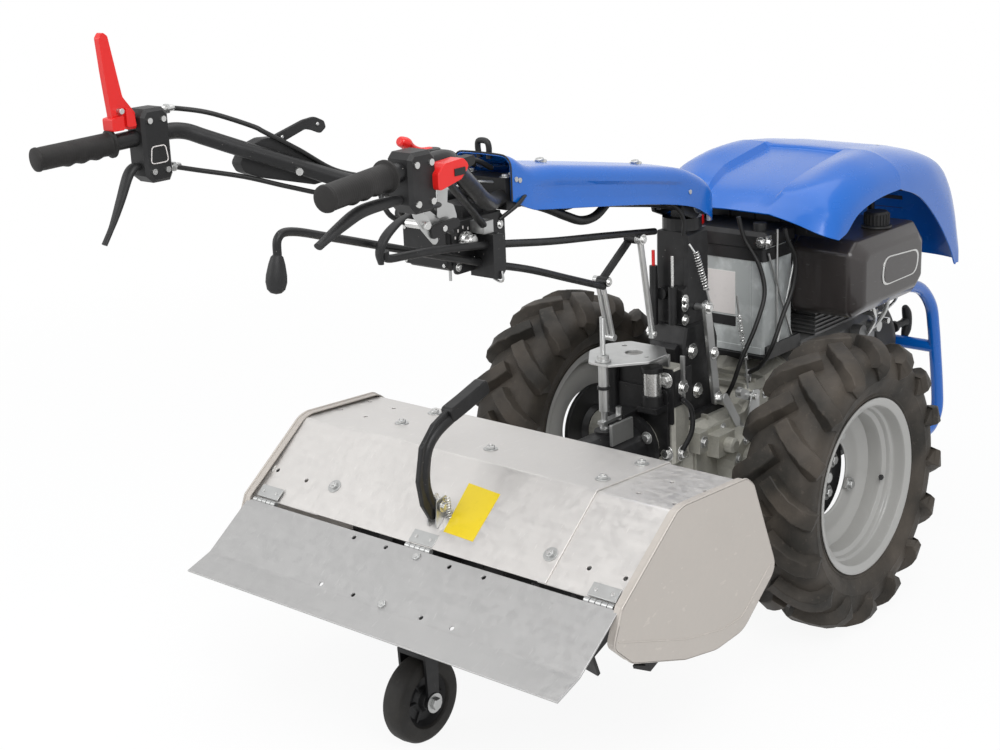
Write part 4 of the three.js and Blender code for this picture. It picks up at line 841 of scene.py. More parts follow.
def engine_cowl():
    half_width = edges("engine_cowl")[1][1]
    blue, dark = "blue", "plastic"
    Shape().grid(cowl_rows(half_width), blue).piece(
        "cowl_shell", "chassis", "engine_cowl", "blue_paint", bevel=0.9, wall=3.2, angle=28, rounds=2)
    trim = Shape()
    for y in (-85, 85):
        trim.tube([(529, y, 790), (529, y, 815)], 9, "black", 14)
        trim.tube([(529, y, 812), (529, y, 817)], 15, "black", 14)
    trim.piece("cowl_seats", "chassis", bevel=0.8)
    front = Shape()
    for k in range(6):
        z = 590 + 20 * k
        x = height_at([(556, 708), (630, 706), (722, 694)], z) + 0.6
        front.prism([(x - 3, z), (x + 1.6, z), (x + 1.6, z + 9), (x - 3, z + 12)], (-70, 70), "xz", dark)
    front.piece("front_louvres", "chassis", bevel=0.8)
    # Painted shade: a dark ribbed sheet across the inside of the cowl, standing in for the shadow under the
    # cowl's underside seen between the tank and the battery.
    shade_sheet = Shape()
    half_arch = [(168, 688), (168, 716), (140, 744), (90, 752)]
    arch = rounded([(-168, 688), *half_arch, *[(-y, z) for y, z in reversed(half_arch[1:])]], 12, 4)
    shade_sheet.prism(arch, (206, 209), "yz", dark)
    for y in (-120, -60, 0, 60, 120):
        shade_sheet.tube([(205, y, 694), (205, y, 744)], 2.4, dark, 8)
    shade_sheet.piece("cowl_painted_shade_sheet", "chassis", bevel=0.8)


def front_guard():
    blue, dark = "blue", "black"
    guard = Shape()
    leg = [(529, 525), (600, 502), (650, 455), (668, 400), (679, 345), (694, 260), (697, 205), (672, 172),
           (630, 166), (587, 188), (556, 238)]
    radius = 13.5
    for y in (-170, 170):
        guard.tube(smooth([(x, y, z) for x, z in leg], 8), radius, blue, 20)
    for x, z in ((529, 525), (677, 353), (650, 167)):
        guard.tube([(x, -170, z), (x, 170, z)], radius, blue, 20)
    guard.piece("guard_tubes", "chassis", "front_guard", "blue_paint", angle=40)
    (start, _), _, (base, _) = edges("engine_block")
    base -= 0.3
    cradle = Shape().block((start + 20, 550), (-178, 178), (base - 12, base), dark)
    cradle.block((482, 535), (-22, 22), (521, 533), dark)
    cradle.block((482, 500), (-22, 22), (470.3, 522), dark)
    for y in (-85, 85):
        cradle.tube([(529, y, 536), (529, y, 789)], 8, dark, 14)
    for y in (-160, -60, 60, 160):
        for x in (250, 470):
            cradle.bolt((x, y, base - 12), (0, 0, -1), 13, "plate")
    cradle.piece("engine_cradle", "chassis", bevel=1.2)


# ---- engine
def fuel_tank():
    body, dark = "tank", "plastic"
    (x0, x1), (y0, y1), (z0, z1) = edges("fuel_tank")
    cut = 24
    outline = [(x0 + 12, z0), (x1 - 30, z0), (x1, z0 + 26), (x1, z1 - 26), (x1 - 26, z1), (x0 + 26, z1),
               (x0, z1 - 22), (x0, z0 + 14)]
    middle_x, middle_z = (x0 + x1) / 2, (z0 + z1) / 2

    def inset(by):
        scale_x, scale_z = 1 - 2 * by / (x1 - x0), 1 - 2 * by / (z1 - z0)
        return [(middle_x + (x - middle_x) * scale_x, middle_z + (z - middle_z) * scale_z) for x,
                z in outline]

    rings = [(y0, inset(cut)), (y0 + cut, outline), (y1 - cut, outline), (y1, inset(cut))]
    tank = Shape().loft([[(x, y, z) for x, z in ring] for y, ring in rings], body)
    tank.piece("tank_shell", "chassis", "fuel_tank", "tank_paint", bevel=7, rounds=4)
    seam = Shape()
    for a, b in zip(outline, [*outline[1:], outline[0]]):
        seam.tube([(a[0], -90, a[1]), (b[0], -90, b[1])], 1.6, dark, 8)
    plate = rounded([(292, 580), (442, 580), (452, 630), (302, 640)], 29, 8)
    seam.prism(plate, (y0 + 1, y0 - 1.2), "xz", "bright")
    middle = Vector((sum(p[0] for p in plate) / len(plate), sum(p[1] for p in plate) / len(plate)))
    small = [tuple(middle + (Vector(p) - middle) * 0.9) for p in plate]
    seam.prism(small, (y0, y0 - 2.2), "xz", body)
    seam.piece("tank_badge_plate", "chassis", bevel=0.5)
    cap = Shape()
    base = z1 + 0.3
    cap.turn([(0, base), (30, base), (31, base + 2), (30, base + 5), (24, base + 6), (24.5, base + 28),
              (21, base + 33), (12, base + 34), (0, base + 34)], (365, -188, 0), (0, 0, 1), dark, 60)
    for k in range(22):
        turn = 2 * math.pi * k / 22
        x, y = 365 + 24.6 * math.cos(turn), -188 + 24.6 * math.sin(turn)
        cap.tube([(x, y, base + 7), (x, y, base + 29)], 2.0, dark, 6)
    cap.piece("tank_cap", "chassis", "fuel_cap", "black_plastic", bevel=0.5)


FIN_LOW, FIN_HIGH = 474, 526


def engine():
    alloy, plate = "engine", "plate"
    dress("engine_block", "engine", 5, 3)
    (x0, x1), _, _ = edges("engine_block")
    trim = Shape()
    count = sizes().fin_count
    for k in range(count):
        z = FIN_LOW + (FIN_HIGH - FIN_LOW) * k / (count - 1)
        trim.block((x0 + 42, x1 - 62), (-116, 84), (z, z + 2.4), alloy)
    trim.piece("cooling_fins", "chassis", bevel=0.5)
    cover = Shape()
    ring = rounded([(x0 + 24, 262), (x1 - 24, 262), (x1 - 24, 440), (x0 + 24, 440)], 46, 8)
    for side in (-1, 1):
        cover.prism(ring, (side * 119, side * 127), "xz", alloy)
        for x, z in rounded([(x0 + 34, 272), (x1 - 34, 272), (x1 - 34, 430), (x0 + 34, 430)], 46, 1):
            cover.bolt((x, side * 127, z), (0, side, 0), 10, plate)
    cover.piece("crankcase_covers", "chassis", bevel=1.5)
    pipes = Shape()
    pipes.tube(smooth([(440, -128, 440), (440, -150, 456), (450, -168, 490), (452, -172, 526)]), 5, plate, 12)
    pipes.tube(smooth([(410, -128, 430), (405, -152, 446), (396, -172, 476), (370, -186, 500),
                       (352, -188, 527)]), 4, "bright", 12)
    pipes.tube(smooth([(460, -118, 470), (486, -140, 472), (496, -160, 492), (482, -176, 512),
                       (452, -178, 520)]), 3.2, "bright", 10)
    pipes.tube([(466, -120, 446), (466, -146, 446)], 12, plate, 20)
    pipes.tube([(430, -120, 486), (430, -158, 486)], 9, plate, 6)
    pipes.tube([(496, -126, 452), (496, -152, 452)], 7, "bright", 6)
    pipes.block((404, 424), (-158, -126), (494, 512), plate)
    pipes.tube([(388, -128, 452), (388, -150, 452)], 15, alloy, 24)
    pipes.piece("engine_pipes", "chassis", bevel=0.5)
    dipstick = Shape().tube([(260, -127, 400), (260, -150, 420), (260, -156, 432)], [7, 7, 9], "yellow", 14)
    dipstick.piece("oil_dipstick", "chassis", bevel=0.5)
    dress("air_cleaner", "plastic", 9, 4)
    dress("muffler", "exhaust", 2, 2)
    extras = Shape()
    for x in range(262, 430, 12):
        extras.turn([(47, -1), (48.6, 0), (47, 1)], (x, 168, 405), (1, 0, 0), "exhaust", 32)
    for x in (262, 394):
        extras.block((x, x + 14), (204, 208.5), (540, 600), plate)
    extras.piece("silencer_rings", "chassis", bevel=0.4)


def recoil_starter():
    dark = "plastic"
    (x0, _), _, (z0, z1) = edges("recoil_housing")
    centre_z, radius = (z0 + z1) / 2, (z1 - z0) / 2
    housing = Shape()
    housing.turn([(0, 0), (radius - 2, 0), (radius, 3), (radius, 14), (radius - 3, 16), (radius - 3, 70),
                  (radius - 5, 90), (radius - 18, 112), (radius - 28, 121), (72, 123), (66, 127), (62, 146),
                  (56, 150), (0, 150)], (x0, 0, centre_z), (1, 0, 0), dark, 96)
    for k in range(26):
        turn = 2 * math.pi * k / 26
        out = Vector((0, math.cos(turn), math.sin(turn)))
        start = Vector((x0 + 124, 0, centre_z)) + out * 74
        end = Vector((x0 + 116, 0, centre_z)) + out * 98
        housing.tube([start, end], 2.6, dark, 8)
    for turn in (0.4, 2.0, 3.6, 5.2):
        out = Vector((0, math.cos(turn), math.sin(turn)))
        housing.bolt(Vector((x0 + 14, 0, centre_z)) + out * (radius - 1), out, 10, "plate")
    housing.piece("starter_housing", "chassis", "recoil_housing", "black_plastic", bevel=0.8)
    (x0, _), (y0, y1), (z0, z1) = edges("recoil_handle")
    y, z = (y0 + y1) / 2, (z0 + z1) / 2
    pull = Shape()
    pull.tube([(x0, y, z), (x0 + 10, y, z), (x0 + 12, y, z), (x0 + 46, y, z), (x0 + 58, y, z)],
              [13, 13, 8, 8, 11], dark, 20)
    handle = smooth([(x0 + 54, y, z - 36), (x0 + 64, y, z - 18), (x0 + 67, y, z), (x0 + 64, y, z + 18),
                     (x0 + 54, y, z + 36)], 5)
    end_radii = [6, 8, 9, 10, 10.5]
    radii = [*end_radii, *[11] * (len(handle) - 2 * len(end_radii)), *reversed(end_radii)]
    pull.tube(handle, radii, dark, 18)
    pull.piece("starter_handle", "chassis", "recoil_handle", "black_plastic", bevel=1.0)


# ---- battery
def battery():
    case, dark, plate = "case", "plastic", "plate"
    (x0, x1), (y0, y1), (z0, z1) = edges("battery_case")
    shell = Shape()
    plan = rounded([(x0 + 1, y0 + 1), (x1 - 1, y0 + 1), (x1 - 1, y1 - 1), (x0 + 1, y1 - 1)], 7, 4)
    shell.prism(plan, (z0, z1), "xy", case)
    for y in (y0 + 28, y0 + 34, y1 - 34, y1 - 28):
        shell.block((x0, x0 + 3), (y - 1.2, y + 1.2), (z0 + 6, z1 - 8), case)
    shell.block((x0 - 0.5, x0 + 3), (y0 + 8, y1 - 8), (z0, z0 + 14), case)
    shell.prism(rounded([(x0 - 1, y0 - 1), (x1 + 1, y0 - 1), (x1 + 1, y1 + 1), (x0 - 1, y1 + 1)], 8, 4),
                (z1 - 26, z1 - 1), "xy", dark)
    shell.piece("battery_box", "chassis", "battery_case", "case_plastic", bevel=1.0)
    note = Shape()
    note.block((x0 - 0.4, x0 + 2), (-27, 42), (540, 627), "label")
    note.block((x0 - 0.6, x0 + 2), (-28, 43), (516, 536), dark)
    note.piece("battery_label", "chassis", bevel=0.3)
    dress("battery_lid", "plastic", 3, 3)
    dress("battery_tray", "black", 1.2)
    lid_top = edges("battery_lid")[2][1]
    fittings = Shape()
    for y in (y0 - 2, y1 + 2):
        fittings.tube([(x0 + 40, y * 1.02, z0 - 4), (x0 + 40, y * 1.02, z1 + 34)], 2.6, plate, 10)
    fittings.tube([(x0 + 6, y0 - 5, z1 - 8), (x1 - 4, y0 - 5, z0 + 4)], 2.4, plate, 10)
    fittings.tube([(x1 - 10, y0 - 8, z1 - 40), (x0 + 30, y0 - 8, z0 + 4)], 2.4, plate, 10)
    fittings.prism([(x0 - 5, z1 + 2), (x0 + 14, z1 + 2), (x0 + 14, z1 + 27), (x0 - 5, z1 + 27)],
                   (y0 - 7, y0 - 5), "xz", plate)
    fittings.bolt((x0 + 4, y0 - 7, z1 + 14), (0, -1, 0), 12, "bright")
    fittings.bolt((x0 - 5, y0 + 6, z1 + 14), (-1, 0, 0), 12, "bright")
    fittings.piece("battery_hold_down", "chassis", bevel=0.4)
    ends = Shape()
    ends.tube([(x0 + 18, y1 - 22, lid_top - 16), (x0 + 18, y1 - 22, lid_top + 2)], 13, "red", 20)
    ends.tube(smooth([(x0 + 18, y1 - 22, lid_top + 1), (x0 - 4, y1 - 30, lid_top - 2),
                      (x0 - 22, y1 - 50, lid_top - 30), (x0 - 30, y1 - 70, lid_top - 80)]), 5, "red", 12)
    ends.tube([(x0 + 18, y0 + 22, lid_top - 16), (x0 + 18, y0 + 22, lid_top + 2)], 13, dark, 20)
    ends.piece("battery_terminals", "chassis", bevel=0.8)


# ---- cables
CHASSIS_CABLES = {"clutch_cable": (4.5, [(72, -48, 744), (76, -60, 700), (84, -88, 650), (78, -104, 596),
                                         (48, -104, 540), (18, -92, 480), (7, -78, 428), (8, -62, 396),
                                         (8, -62, 375.6)]), "gear_cable": (4.5, [(112, -128, 722),
                                                                                 (118, -130, 700),
                                                                                 (146, -131, 655),
                                                                                 (140, -130, 600),
                                                                                 (104, -128, 545),
                                                                                 (76, -122, 490),
                                                                                 (78, -96, 448),
                                                                                 (88, -60, 424),
                                                                                 (88, -60, 405.6)]),}
UPPER_CABLE = [(-1038.4, 288, 1080), (-1024, 288, 1080), (-1000, 286, 1077), (-960, 260, 1066),
               (-908, 226, 1041), (-892, 213, 1029), (-846, 187, 996), (-792, 164, 957), (-740, 130, 940),
               (-712, 106, 941), (-664, 66, 946), (-612, 40, 947)]
LOWER_CABLE = [(-1038.4, 285, 990), (-1026, 285, 990), (-986, 269, 979), (-926, 232, 962), (-866, 195, 939),
               (-811, 166, 921), (-760, 146, 920), (-712, 114, 929), (-664, 78, 936), (-612, 51, 940)]
RIGHT_CABLE = [(-1055.4, -286, 1018), (-1038, -286, 1018), (-995, -268, 1012), (-960, -243, 998),
               (-930, -221, 984), (-864, -176, 955), (-789, -126, 920), (-745, -98, 896), (-700, -72, 872)]


def ferrule(shape, path, radius, length=24):
    """A crimped metal end with an adjuster nut at the start of a cable."""
    start, way = Vector(path[0]), (Vector(path[1]) - Vector(path[0])).normalized()
    shape.tube([start + way * d for d in (0.2, 3, 3.2, length, length + 4)],
               [radius * 0.6, radius * 0.6, radius * 1.3, radius * 1.3, radius * 1.05], "bright", 14)
    shape.tube([start + way * (length * 0.5), start + way * (length * 0.5 + 5)], radius * 2.0, "plate", 6)


def cables():
    sheath = "sheath"
    for node, (radius, route) in CHASSIS_CABLES.items():
        line = Shape().tube(smooth(route, 8), radius, sheath, 14)
        ferrule(line, route[::-1], radius)
        line.piece(f"{node}_sheath", "chassis", node, "cable_sheath")
    left = Shape()
    for route in (UPPER_CABLE, LOWER_CABLE):
        left.tube(smooth(route, 8), 4, sheath, 14)
        ferrule(left, route, 4)
    left.tube([(-712, 116, 926), (-712, 104, 944)], 6.5, "plastic", 16)
    left.piece("left_control_cables", "handlebar", "cables_left", "cable_sheath")
    right = Shape().tube(smooth(RIGHT_CABLE, 8), 6, sheath, 14)
    ferrule(right, RIGHT_CABLE, 5)
    right.block((-712, -690), (-82, -48.3), (862, 882), "plate")
    right.piece("right_control_cables", "handlebar", "cables_right", "cable_sheath")
    loose = Shape()
    loose.tube(smooth([(-560, -30, 884), (-500, -34, 862), (-445, -34, 838), (-400, -32, 822),
                       (-361, -34, 824), (-320, -34, 846), (-300, -34, 862)]), 8, sheath, 14)
    loose.tube(smooth([(-540, -22, 882), (-470, -22, 856), (-420, -22, 848), (-350, -22, 858),
                       (-310, -26, 850)]), 4, sheath, 12)
    loose.tube(smooth([(-330, -36, 858), (-300, -38, 832), (-262, -38, 830), (-256, -38, 852)], 5), 2.5,
               sheath, 8)
    loose.tube(smooth([(-180, -34, 818), (-135, -44, 800), (-114, -48, 772), (-112, -46, 742)]), 4, sheath,
               12)
    loose.piece("beam_hoses", "handlebar")


# ---- gearbox, column and levers
def gearbox():
    cast, plate = "cast", "plate"
    dress("gearbox", "cast", 5, 3)
    dress("clutch_housing", "cast", 2, 2)
    trim = Shape()
    half = 80
    for side in (-1, 1):
        outline = rounded([(-132, 262), (-64, 222), (86, 222), (124, 252), (124, 392), (66, 392), (38, 362),
                           (-132, 362)], 16, 4)
        trim.prism(outline, (side * (half - 3), side * (half + 5)), "xz", cast)
        flange_bolts = [(-118, 276), (-64, 236), (0, 230), (80, 236), (112, 268), (112, 330), (112, 380),
                        (72, 380), (-118, 350), (-40, 350)]
        for x, z in flange_bolts:
            trim.bolt((x, side * (half + 5), z), (0, side, 0), 11, plate)
        for k in range(8):
            turn = math.pi * (k + 0.5) / 4
            at = (52 * math.sin(turn), side * (half + 45), AXLE_Z + 52 * math.cos(turn))
            trim.bolt(at, (0, side, 0), 11, plate)
        trim.turn([(38, 0), (50, 0), (52, 3), (50, 12), (38, 16)], (0, side * 190, AXLE_Z), (0, side, 0),
                  cast, 40)
    for x in (-120, -70, 60, 100):
        top = 375 if x < 40 else 405
        trim.block((x - 3, x + 3), (-70, 70), (top - 3, top + 7), cast)
    trim.turn([(0, 0), (20, 0), (22, 4), (22, 10), (14, 14), (14, 26), (0, 26)], (70, 24, 405), (0, 0, 1),
              cast, 32)
    trim.piece("gearbox_covers", "chassis", bevel=1.4)
    rear = Shape()
    rear.tube([(-150, 52, 300), (-176, 52, 300)], 20, cast, 28)
    rear.tube([(-150, -46, 312), (-178, -46, 312)], 17, cast, 28)
    rear.block((-148, -120), (-104, -78), (330, 372), cast)
    rear.bolt((-134, -104, 351), (0, -1, 0), 13, plate)
    rear.block((-96, -40), (-112, -78), (308, 352), cast)
    rear.turn([(0, 0), (14, 0), (15, 2), (15, 18), (10, 22), (0, 22)], (-68, -112, 330), (0, -1, 0), cast, 28)
    rear.piece("gearbox_bosses", "chassis", bevel=2.0)
    bell = Shape()
    for k in range(8):
        turn = 2 * math.pi * (k + 0.5) / 8
        bell.bolt((199.5, 113 * math.cos(turn), 330 + 113 * math.sin(turn)), (-1, 0, 0), 11, plate)
    bell.piece("bell_bolts", "chassis", bevel=0.4)


def column():
    dark, plate, bright = "black", "plate", "bright"
    dress("column", "black", 3, 3)
    dress("handlebar_head", "black", 2, 2)
    fittings = Shape()
    fittings.prism(rounded([(-104, 566), (-88.4, 566), (-88.4, 640), (-104, 632)], 4, 3), (-38, -6), "xz",
                   dark)
    for z in (613, 601, 574):
        fittings.bolt((-98, -38.2, z), (0, -1, 0), 12, bright)
    for x, z in ((-81, 509), (-65, 426)):
        for side in (-1, 1):
            fittings.bolt((x, side * 42.2, z), (0, side, 0), 17, bright)
    for x in (-108, 10):
        for y in (-48, 48):
            fittings.bolt((x, y, 387.5), (0, 0, 1), 13, plate)
    fittings.prism(rounded([(-122, 440), (-108.2, 430), (-108.2, 530), (-122, 520)], 4, 3), (-30, 30), "xz",
                   dark)
    fittings.tube([(-104, 14, 620), (-88.2, 14, 620)], 12, dark, 20)
    fittings.tube([(-112, 24, 560), (-112, 24, 676)], 8, dark, 16)
    fittings.tube([(-112, -20, 566), (-112, -20, 640)], 9, dark, 16)
    fittings.tube([(-112, -20, 640), (-112, -20, 700)], 3, bright, 10)
    fittings.tube([(-112, 24, 676), (-112, 24, 706)], 3.4, "red", 10)
    fittings.piece("column_fittings", "chassis", bevel=0.6)
    chain = Shape()
    chain.tube([(-94, -46, 722), (-90, -58, 704)], 2.2, plate, 10)
    chain.spring((-90, -58, 708), (-76, -72, 632), 5.4, 15, 1.3, bright)
    chain.tube([(-76, -72, 636), (-68, -74, 606)], 2.2, plate, 10)
    chain.spring((30, -76, 560), (38, -86, 470), 4.6, 18, 1.2, bright)
    chain.tube([(26, -74, 600), (30, -76, 562)], 2.0, plate, 10)
    chain.tube([(38, -86, 472), (44, -88, 408)], 2.0, plate, 10)
    chain.piece("return_springs", "chassis")
    lever = Shape()
    upper = rounded(strip([(-76, 606), (-42, 392)], 21), 9, 5)
    lever.prism(upper, (-68, -60), "xz", plate)
    lower = rounded(strip([(-48, 410), (56, 266)], 20), 9, 5)
    lever.prism(lower, (-88.2, -84.2), "xz", plate)
    for x, z, y in ((-62, 594, -68), (-44, 500, -68), (-30, 406, -68)):
        lever.bolt((x, y, z), (0, -1, 0), 14, bright)
    lever.tube([(-32, -68, 402), (-32, -86, 402)], 8, plate, 16)
    lever.tube([(50, -84, 286), (50, -96, 286)], 8, plate, 16)
    lever.tube([(-60, -60, 592), (-60, -36.4, 592)], 7, plate, 16)
    lever.prism(rounded([(-4, 404), (52, 380), (60, 396), (6, 424)], 6, 4), (-92, -88), "xz", plate)
    lever.prism(rounded([(30, 330), (70, 336), (72, 402), (50, 406), (34, 372)], 7, 4), (-98, -94), "xz",
                plate)
    lever.tube([(6, -88, 412), (6, -100, 412)], 8, plate, 16)
    lever.tube([(52, -84, 392), (52, -104, 392)], 7, bright, 16)
    lever.piece("clutch_lever_bar", "chassis", "lever_bar", "zinc_plate", bevel=0.8)


def hitch():
    dark, plate, bright = "black", "plate", "bright"
    dress("hitch_box", "cast", 3, 3)
    box = Shape()
    box.prism(rounded([(-86.6, 402), (88, 402), (88, 510), (-86.6, 510)], 5, 3), (-208, -205.2), "yz", dark)
    box.block((-205, -150), (-88, -85.2), (436, 506), dark)
    box.block((-205, -150), (85.2, 88), (402, 506), dark)
    for y in (-70, 70):
        for z in (344, 488):
            box.bolt((-208.3, y, z), (-1, 0, 0), 17, bright)
    box.prism(rounded([(-76, 470), (76, 470), (76, 350), (50, 330), (-50, 330), (-76, 350)], 10, 4),
              (-213, -205.2), "yz", dark)
    box.tube([(-226, -52, 462), (-226, -52, 506)], 17, bright, 32)
    box.tube([(-226, -52, 506), (-226, -52, 516)], 20, dark, 32)
    box.tube([(-226, -52, 440), (-226, -52, 462)], 20, dark, 32)
    box.block((-246, -205.2), (-74, -30), (430, 441), dark)
    box.block((-262, -205.2), (-14, 40), (410, 424), dark)
    box.tube([(-214, 50, 420), (-214, 50, 500)], 13, dark, 24)
    for z, out in ((340, 85.2), (470, 88.2)):
        for side in (-1, 1):
            box.bolt((-180, side * out, z), (0, side, 0), 17, bright)
    box.tube(smooth([(-190, -92, 452), (-176, -104, 428), (-180, -108, 388), (-196, -98, 352)]), 5, dark, 12)
    box.piece("hitch_fittings", "chassis", bevel=0.8)
    top = edges("selector_plate")[2][1]
    plan = rounded([(-323, -22), (-262, -72), (-206, -72), (-168, -40), (-168, 40), (-206, 66), (-262, 66),
                    (-323, 22)], 14, 6)
    guide = Shape().prism(plan, (top - 5, top), "xy", plate)
    guide = guide.piece("selector_guide", "chassis", "selector_plate", "zinc_plate", bevel=0.8)
    drilled(guide, [((-307, 0, top), (0, 0, 1), 9.4, 12), ((-228, -12, top), (0, 0, 1), 17, 12),
                    ((-240, -50, top), (0, 0, 1), 4, 12),
                    ((-200, 30, top), (0, 0, 1), 5, 12)])
    under = top - 5.2
    stay = Shape().prism([(-193, 508.4), (-187, 508.4), (-187, under), (-193, under)], (-66, 40), "xz", plate)
    stay.prism([(-186, 440), (-182, 440), (-182, under), (-186, under)], (-96, -86.4), "xz", plate)
    stay.piece("selector_stay", "chassis", bevel=0.6)
    foot, tip = edges("depth_spindle")[2]
    spindle = Shape()
    threads = []
    z = top + 15
    while z < tip - 3:
        threads += [(4.3, z), (5.2, z + 1.0)]
        z += 2.0
    spindle.turn([(0, foot), (9, foot), (9, foot + 4), (6, foot + 6), (6, foot + 34), (9.6, foot + 36),
                  (9.6, top - 7), (8.6, top - 6.4), (8.6, top + 0.3), (15, top + 0.4), (15, top + 4),
                  (11, top + 5), (11, top + 12), (5, top + 14), *threads, (3.4, tip - 1), (0, tip)],
                 (-307, 0, 0), (0, 0, 1), plate, 32)
    spindle.turn([(9.4, 0), (12.5, 1), (12.5, 6), (9.4, 7)], (-307, 0, foot + 78), (0, 0, 1), dark, 32)
    wing = rounded([(-320, -8), (-264, -7), (-258, 0), (-264, 7), (-320, 8)], 4, 4)
    spindle.prism(wing, (foot + 12, foot + 18), "xy", plate)
    spindle.tube([(-262, 0, foot + 8), (-262, 0, foot + 32)], 6, plate, 16)
    spindle.piece("depth_screw", "chassis", "depth_spindle", "zinc_plate", bevel=0.3)
    dress("tiller_gearcase", "black", 3, 3)
    case = Shape()
    for k in range(6):
        turn = math.pi * (k + 0.5) / 3
        case.bolt((-229.6 - 14, 58 * math.cos(turn), 352 + 58 * math.sin(turn)), (-1, 0, 0), 13, plate)
    for x, z in ((-470, 360), (-520, 400), (-640, 230), (-590, 225), (-668, 300), (-580, 400)):
        case.bolt((x, -30.2, z), (0, -1, 0), 13, plate)
        case.bolt((x, 30.2, z), (0, 1, 0), 13, plate)
    case.block((-345, -280), (-46, -40), (392, 432), plate)
    case.piece("gearcase_bolts", "chassis", bevel=0.5)


# ---- tiller hood
HOOD_LINE = [(-815, 348), (-677, 460), (-475, 448), (-398, 275)]
TOP_UP = Vector((0.0593, 0, 0.9982))
SLOPE_UP = Vector((-0.630, 0, 0.776))


def on_hood(x, y, lift=0.0):
    """A point on the hood's outer face, and the way out of it."""
    up = SLOPE_UP if x < HOOD_LINE[1][0] else TOP_UP
    return Vector((x, y, height_at(HOOD_LINE, x))) + up * lift, up


def tiller_hood():
    zinc, plate = "zinc", "plate"
    sheet = sizes().sheet * 1000
    half = edges("tiller_hood")[1][1]
    line = rounded(HOOD_LINE, [0, 10, 10, 0], 6, closed=False)
    hood = Shape().prism(strip(line, -sheet), (-half, half), "xz", zinc)
    hood = hood.piece("hood_centre", "chassis", "tiller_hood", "galvanised", bevel=0.6, angle=40)
    outer = edges("hood_extension_left")[1][1]
    under = [tuple(p) for p in shifted(HOOD_LINE, -sheet - 0.3)]
    under = rounded(under, [0, 10, 10, 0], 6, closed=False)
    holes = {
        "left": [(-595, 400), (-600, 330), (-520, 398), (-525, 330), (-768, 396), (-771, 318)],
        "right": [(-640, -322), (-647, -396), (-560, -330), (-562, -396), (-779, -325), (-779, -395)],
    }
    for side, label in SIDES:
        wing = Shape().prism(strip(under, -sheet), (side * (half - 18), side * outer), "xz", zinc)
        wing = wing.piece(f"hood_wing_{label}", "chassis", f"hood_extension_{label}", "galvanised", bevel=0.6,
                          angle=40)
        drilled(wing, [(on_hood(x, y)[0], on_hood(x, y)[1], 4.2, 14) for x, y in holes[label]])
    bolts = Shape()
    for x, y in ((-598, 240), (-510, 240), (-617, 10), (-627, -240), (-520, -240), (-769, 245), (-777, -249)):
        at, up = on_hood(x, y, 0.1)
        bolts.bolt(at, up, 14, plate)
        bolts.tube([at, at + up * 9], 4, "bright", 14)
    bolts.piece("hood_bolts", "chassis", bevel=0.4)
    corners = [(-713, -24), (-717, -96), (-790, -96), (-788, -30)]
    sign = Shape()
    sign.loft([[on_hood(x, y, lift)[0] for x, y in corners] for lift in (0.1, 0.7)], "yellow")
    sign.piece("hood_sign", "chassis")


def end_plates():
    grey = "end"
    outline = rounded([(-824, 350), (-680, 458), (-660, 462), (-485, 452), (-464, 436), (-394, 266),
                       (-495, 189), (-574, 185), (-661, 202), (-802, 252), (-848, 293)],
                      [10, 40, 40, 26, 26, 30, 60, 60, 60, 40, 18], 6)
    for side, label in SIDES:
        outer = side * HALF_WIDTH
        plate = Shape().prism(outline, (outer, outer - side * 3), "xz", grey)
        ring = [(x, outer - side * 2.2, z) for x, z in outline]
        plate.tube([*ring, ring[0]], 2.2, grey, 10)
        flange = [[(x, outer - side * d, z) for x, z in outline] for d in (2, 16)]
        middle = Vector((-620, 330))
        inner = [tuple(middle + (Vector(p) - middle) * 0.985) for p in outline]
        plate.loft([flange[0], flange[1], [(x, outer - side * 16, z) for x, z in inner],
                    [(x, outer - side * 3, z) for x, z in inner]], grey, caps=False)
        crease = [(-838, 300), (-660, 236), (-560, 214), (-500, 214), (-412, 278)]
        plate.tube([(x, outer - side * 0.6, z) for x, z in rounded(crease, 30, 5, closed=False)], 1.6, grey,
                   8)
        plate.piece(f"end_panel_{label}", "chassis", f"end_plate_{label}", "end_plate_grey", bevel=0.5,
                    angle=40)
    nuts = Shape()
    for side, _ in SIDES:
        for x, z in ((-760, 378), (-480, 420)):
            nuts.bolt((x, side * (HALF_WIDTH - 17), z), (0, -side, 0), 12, "plate")
    nuts.piece("end_panel_nuts", "chassis")


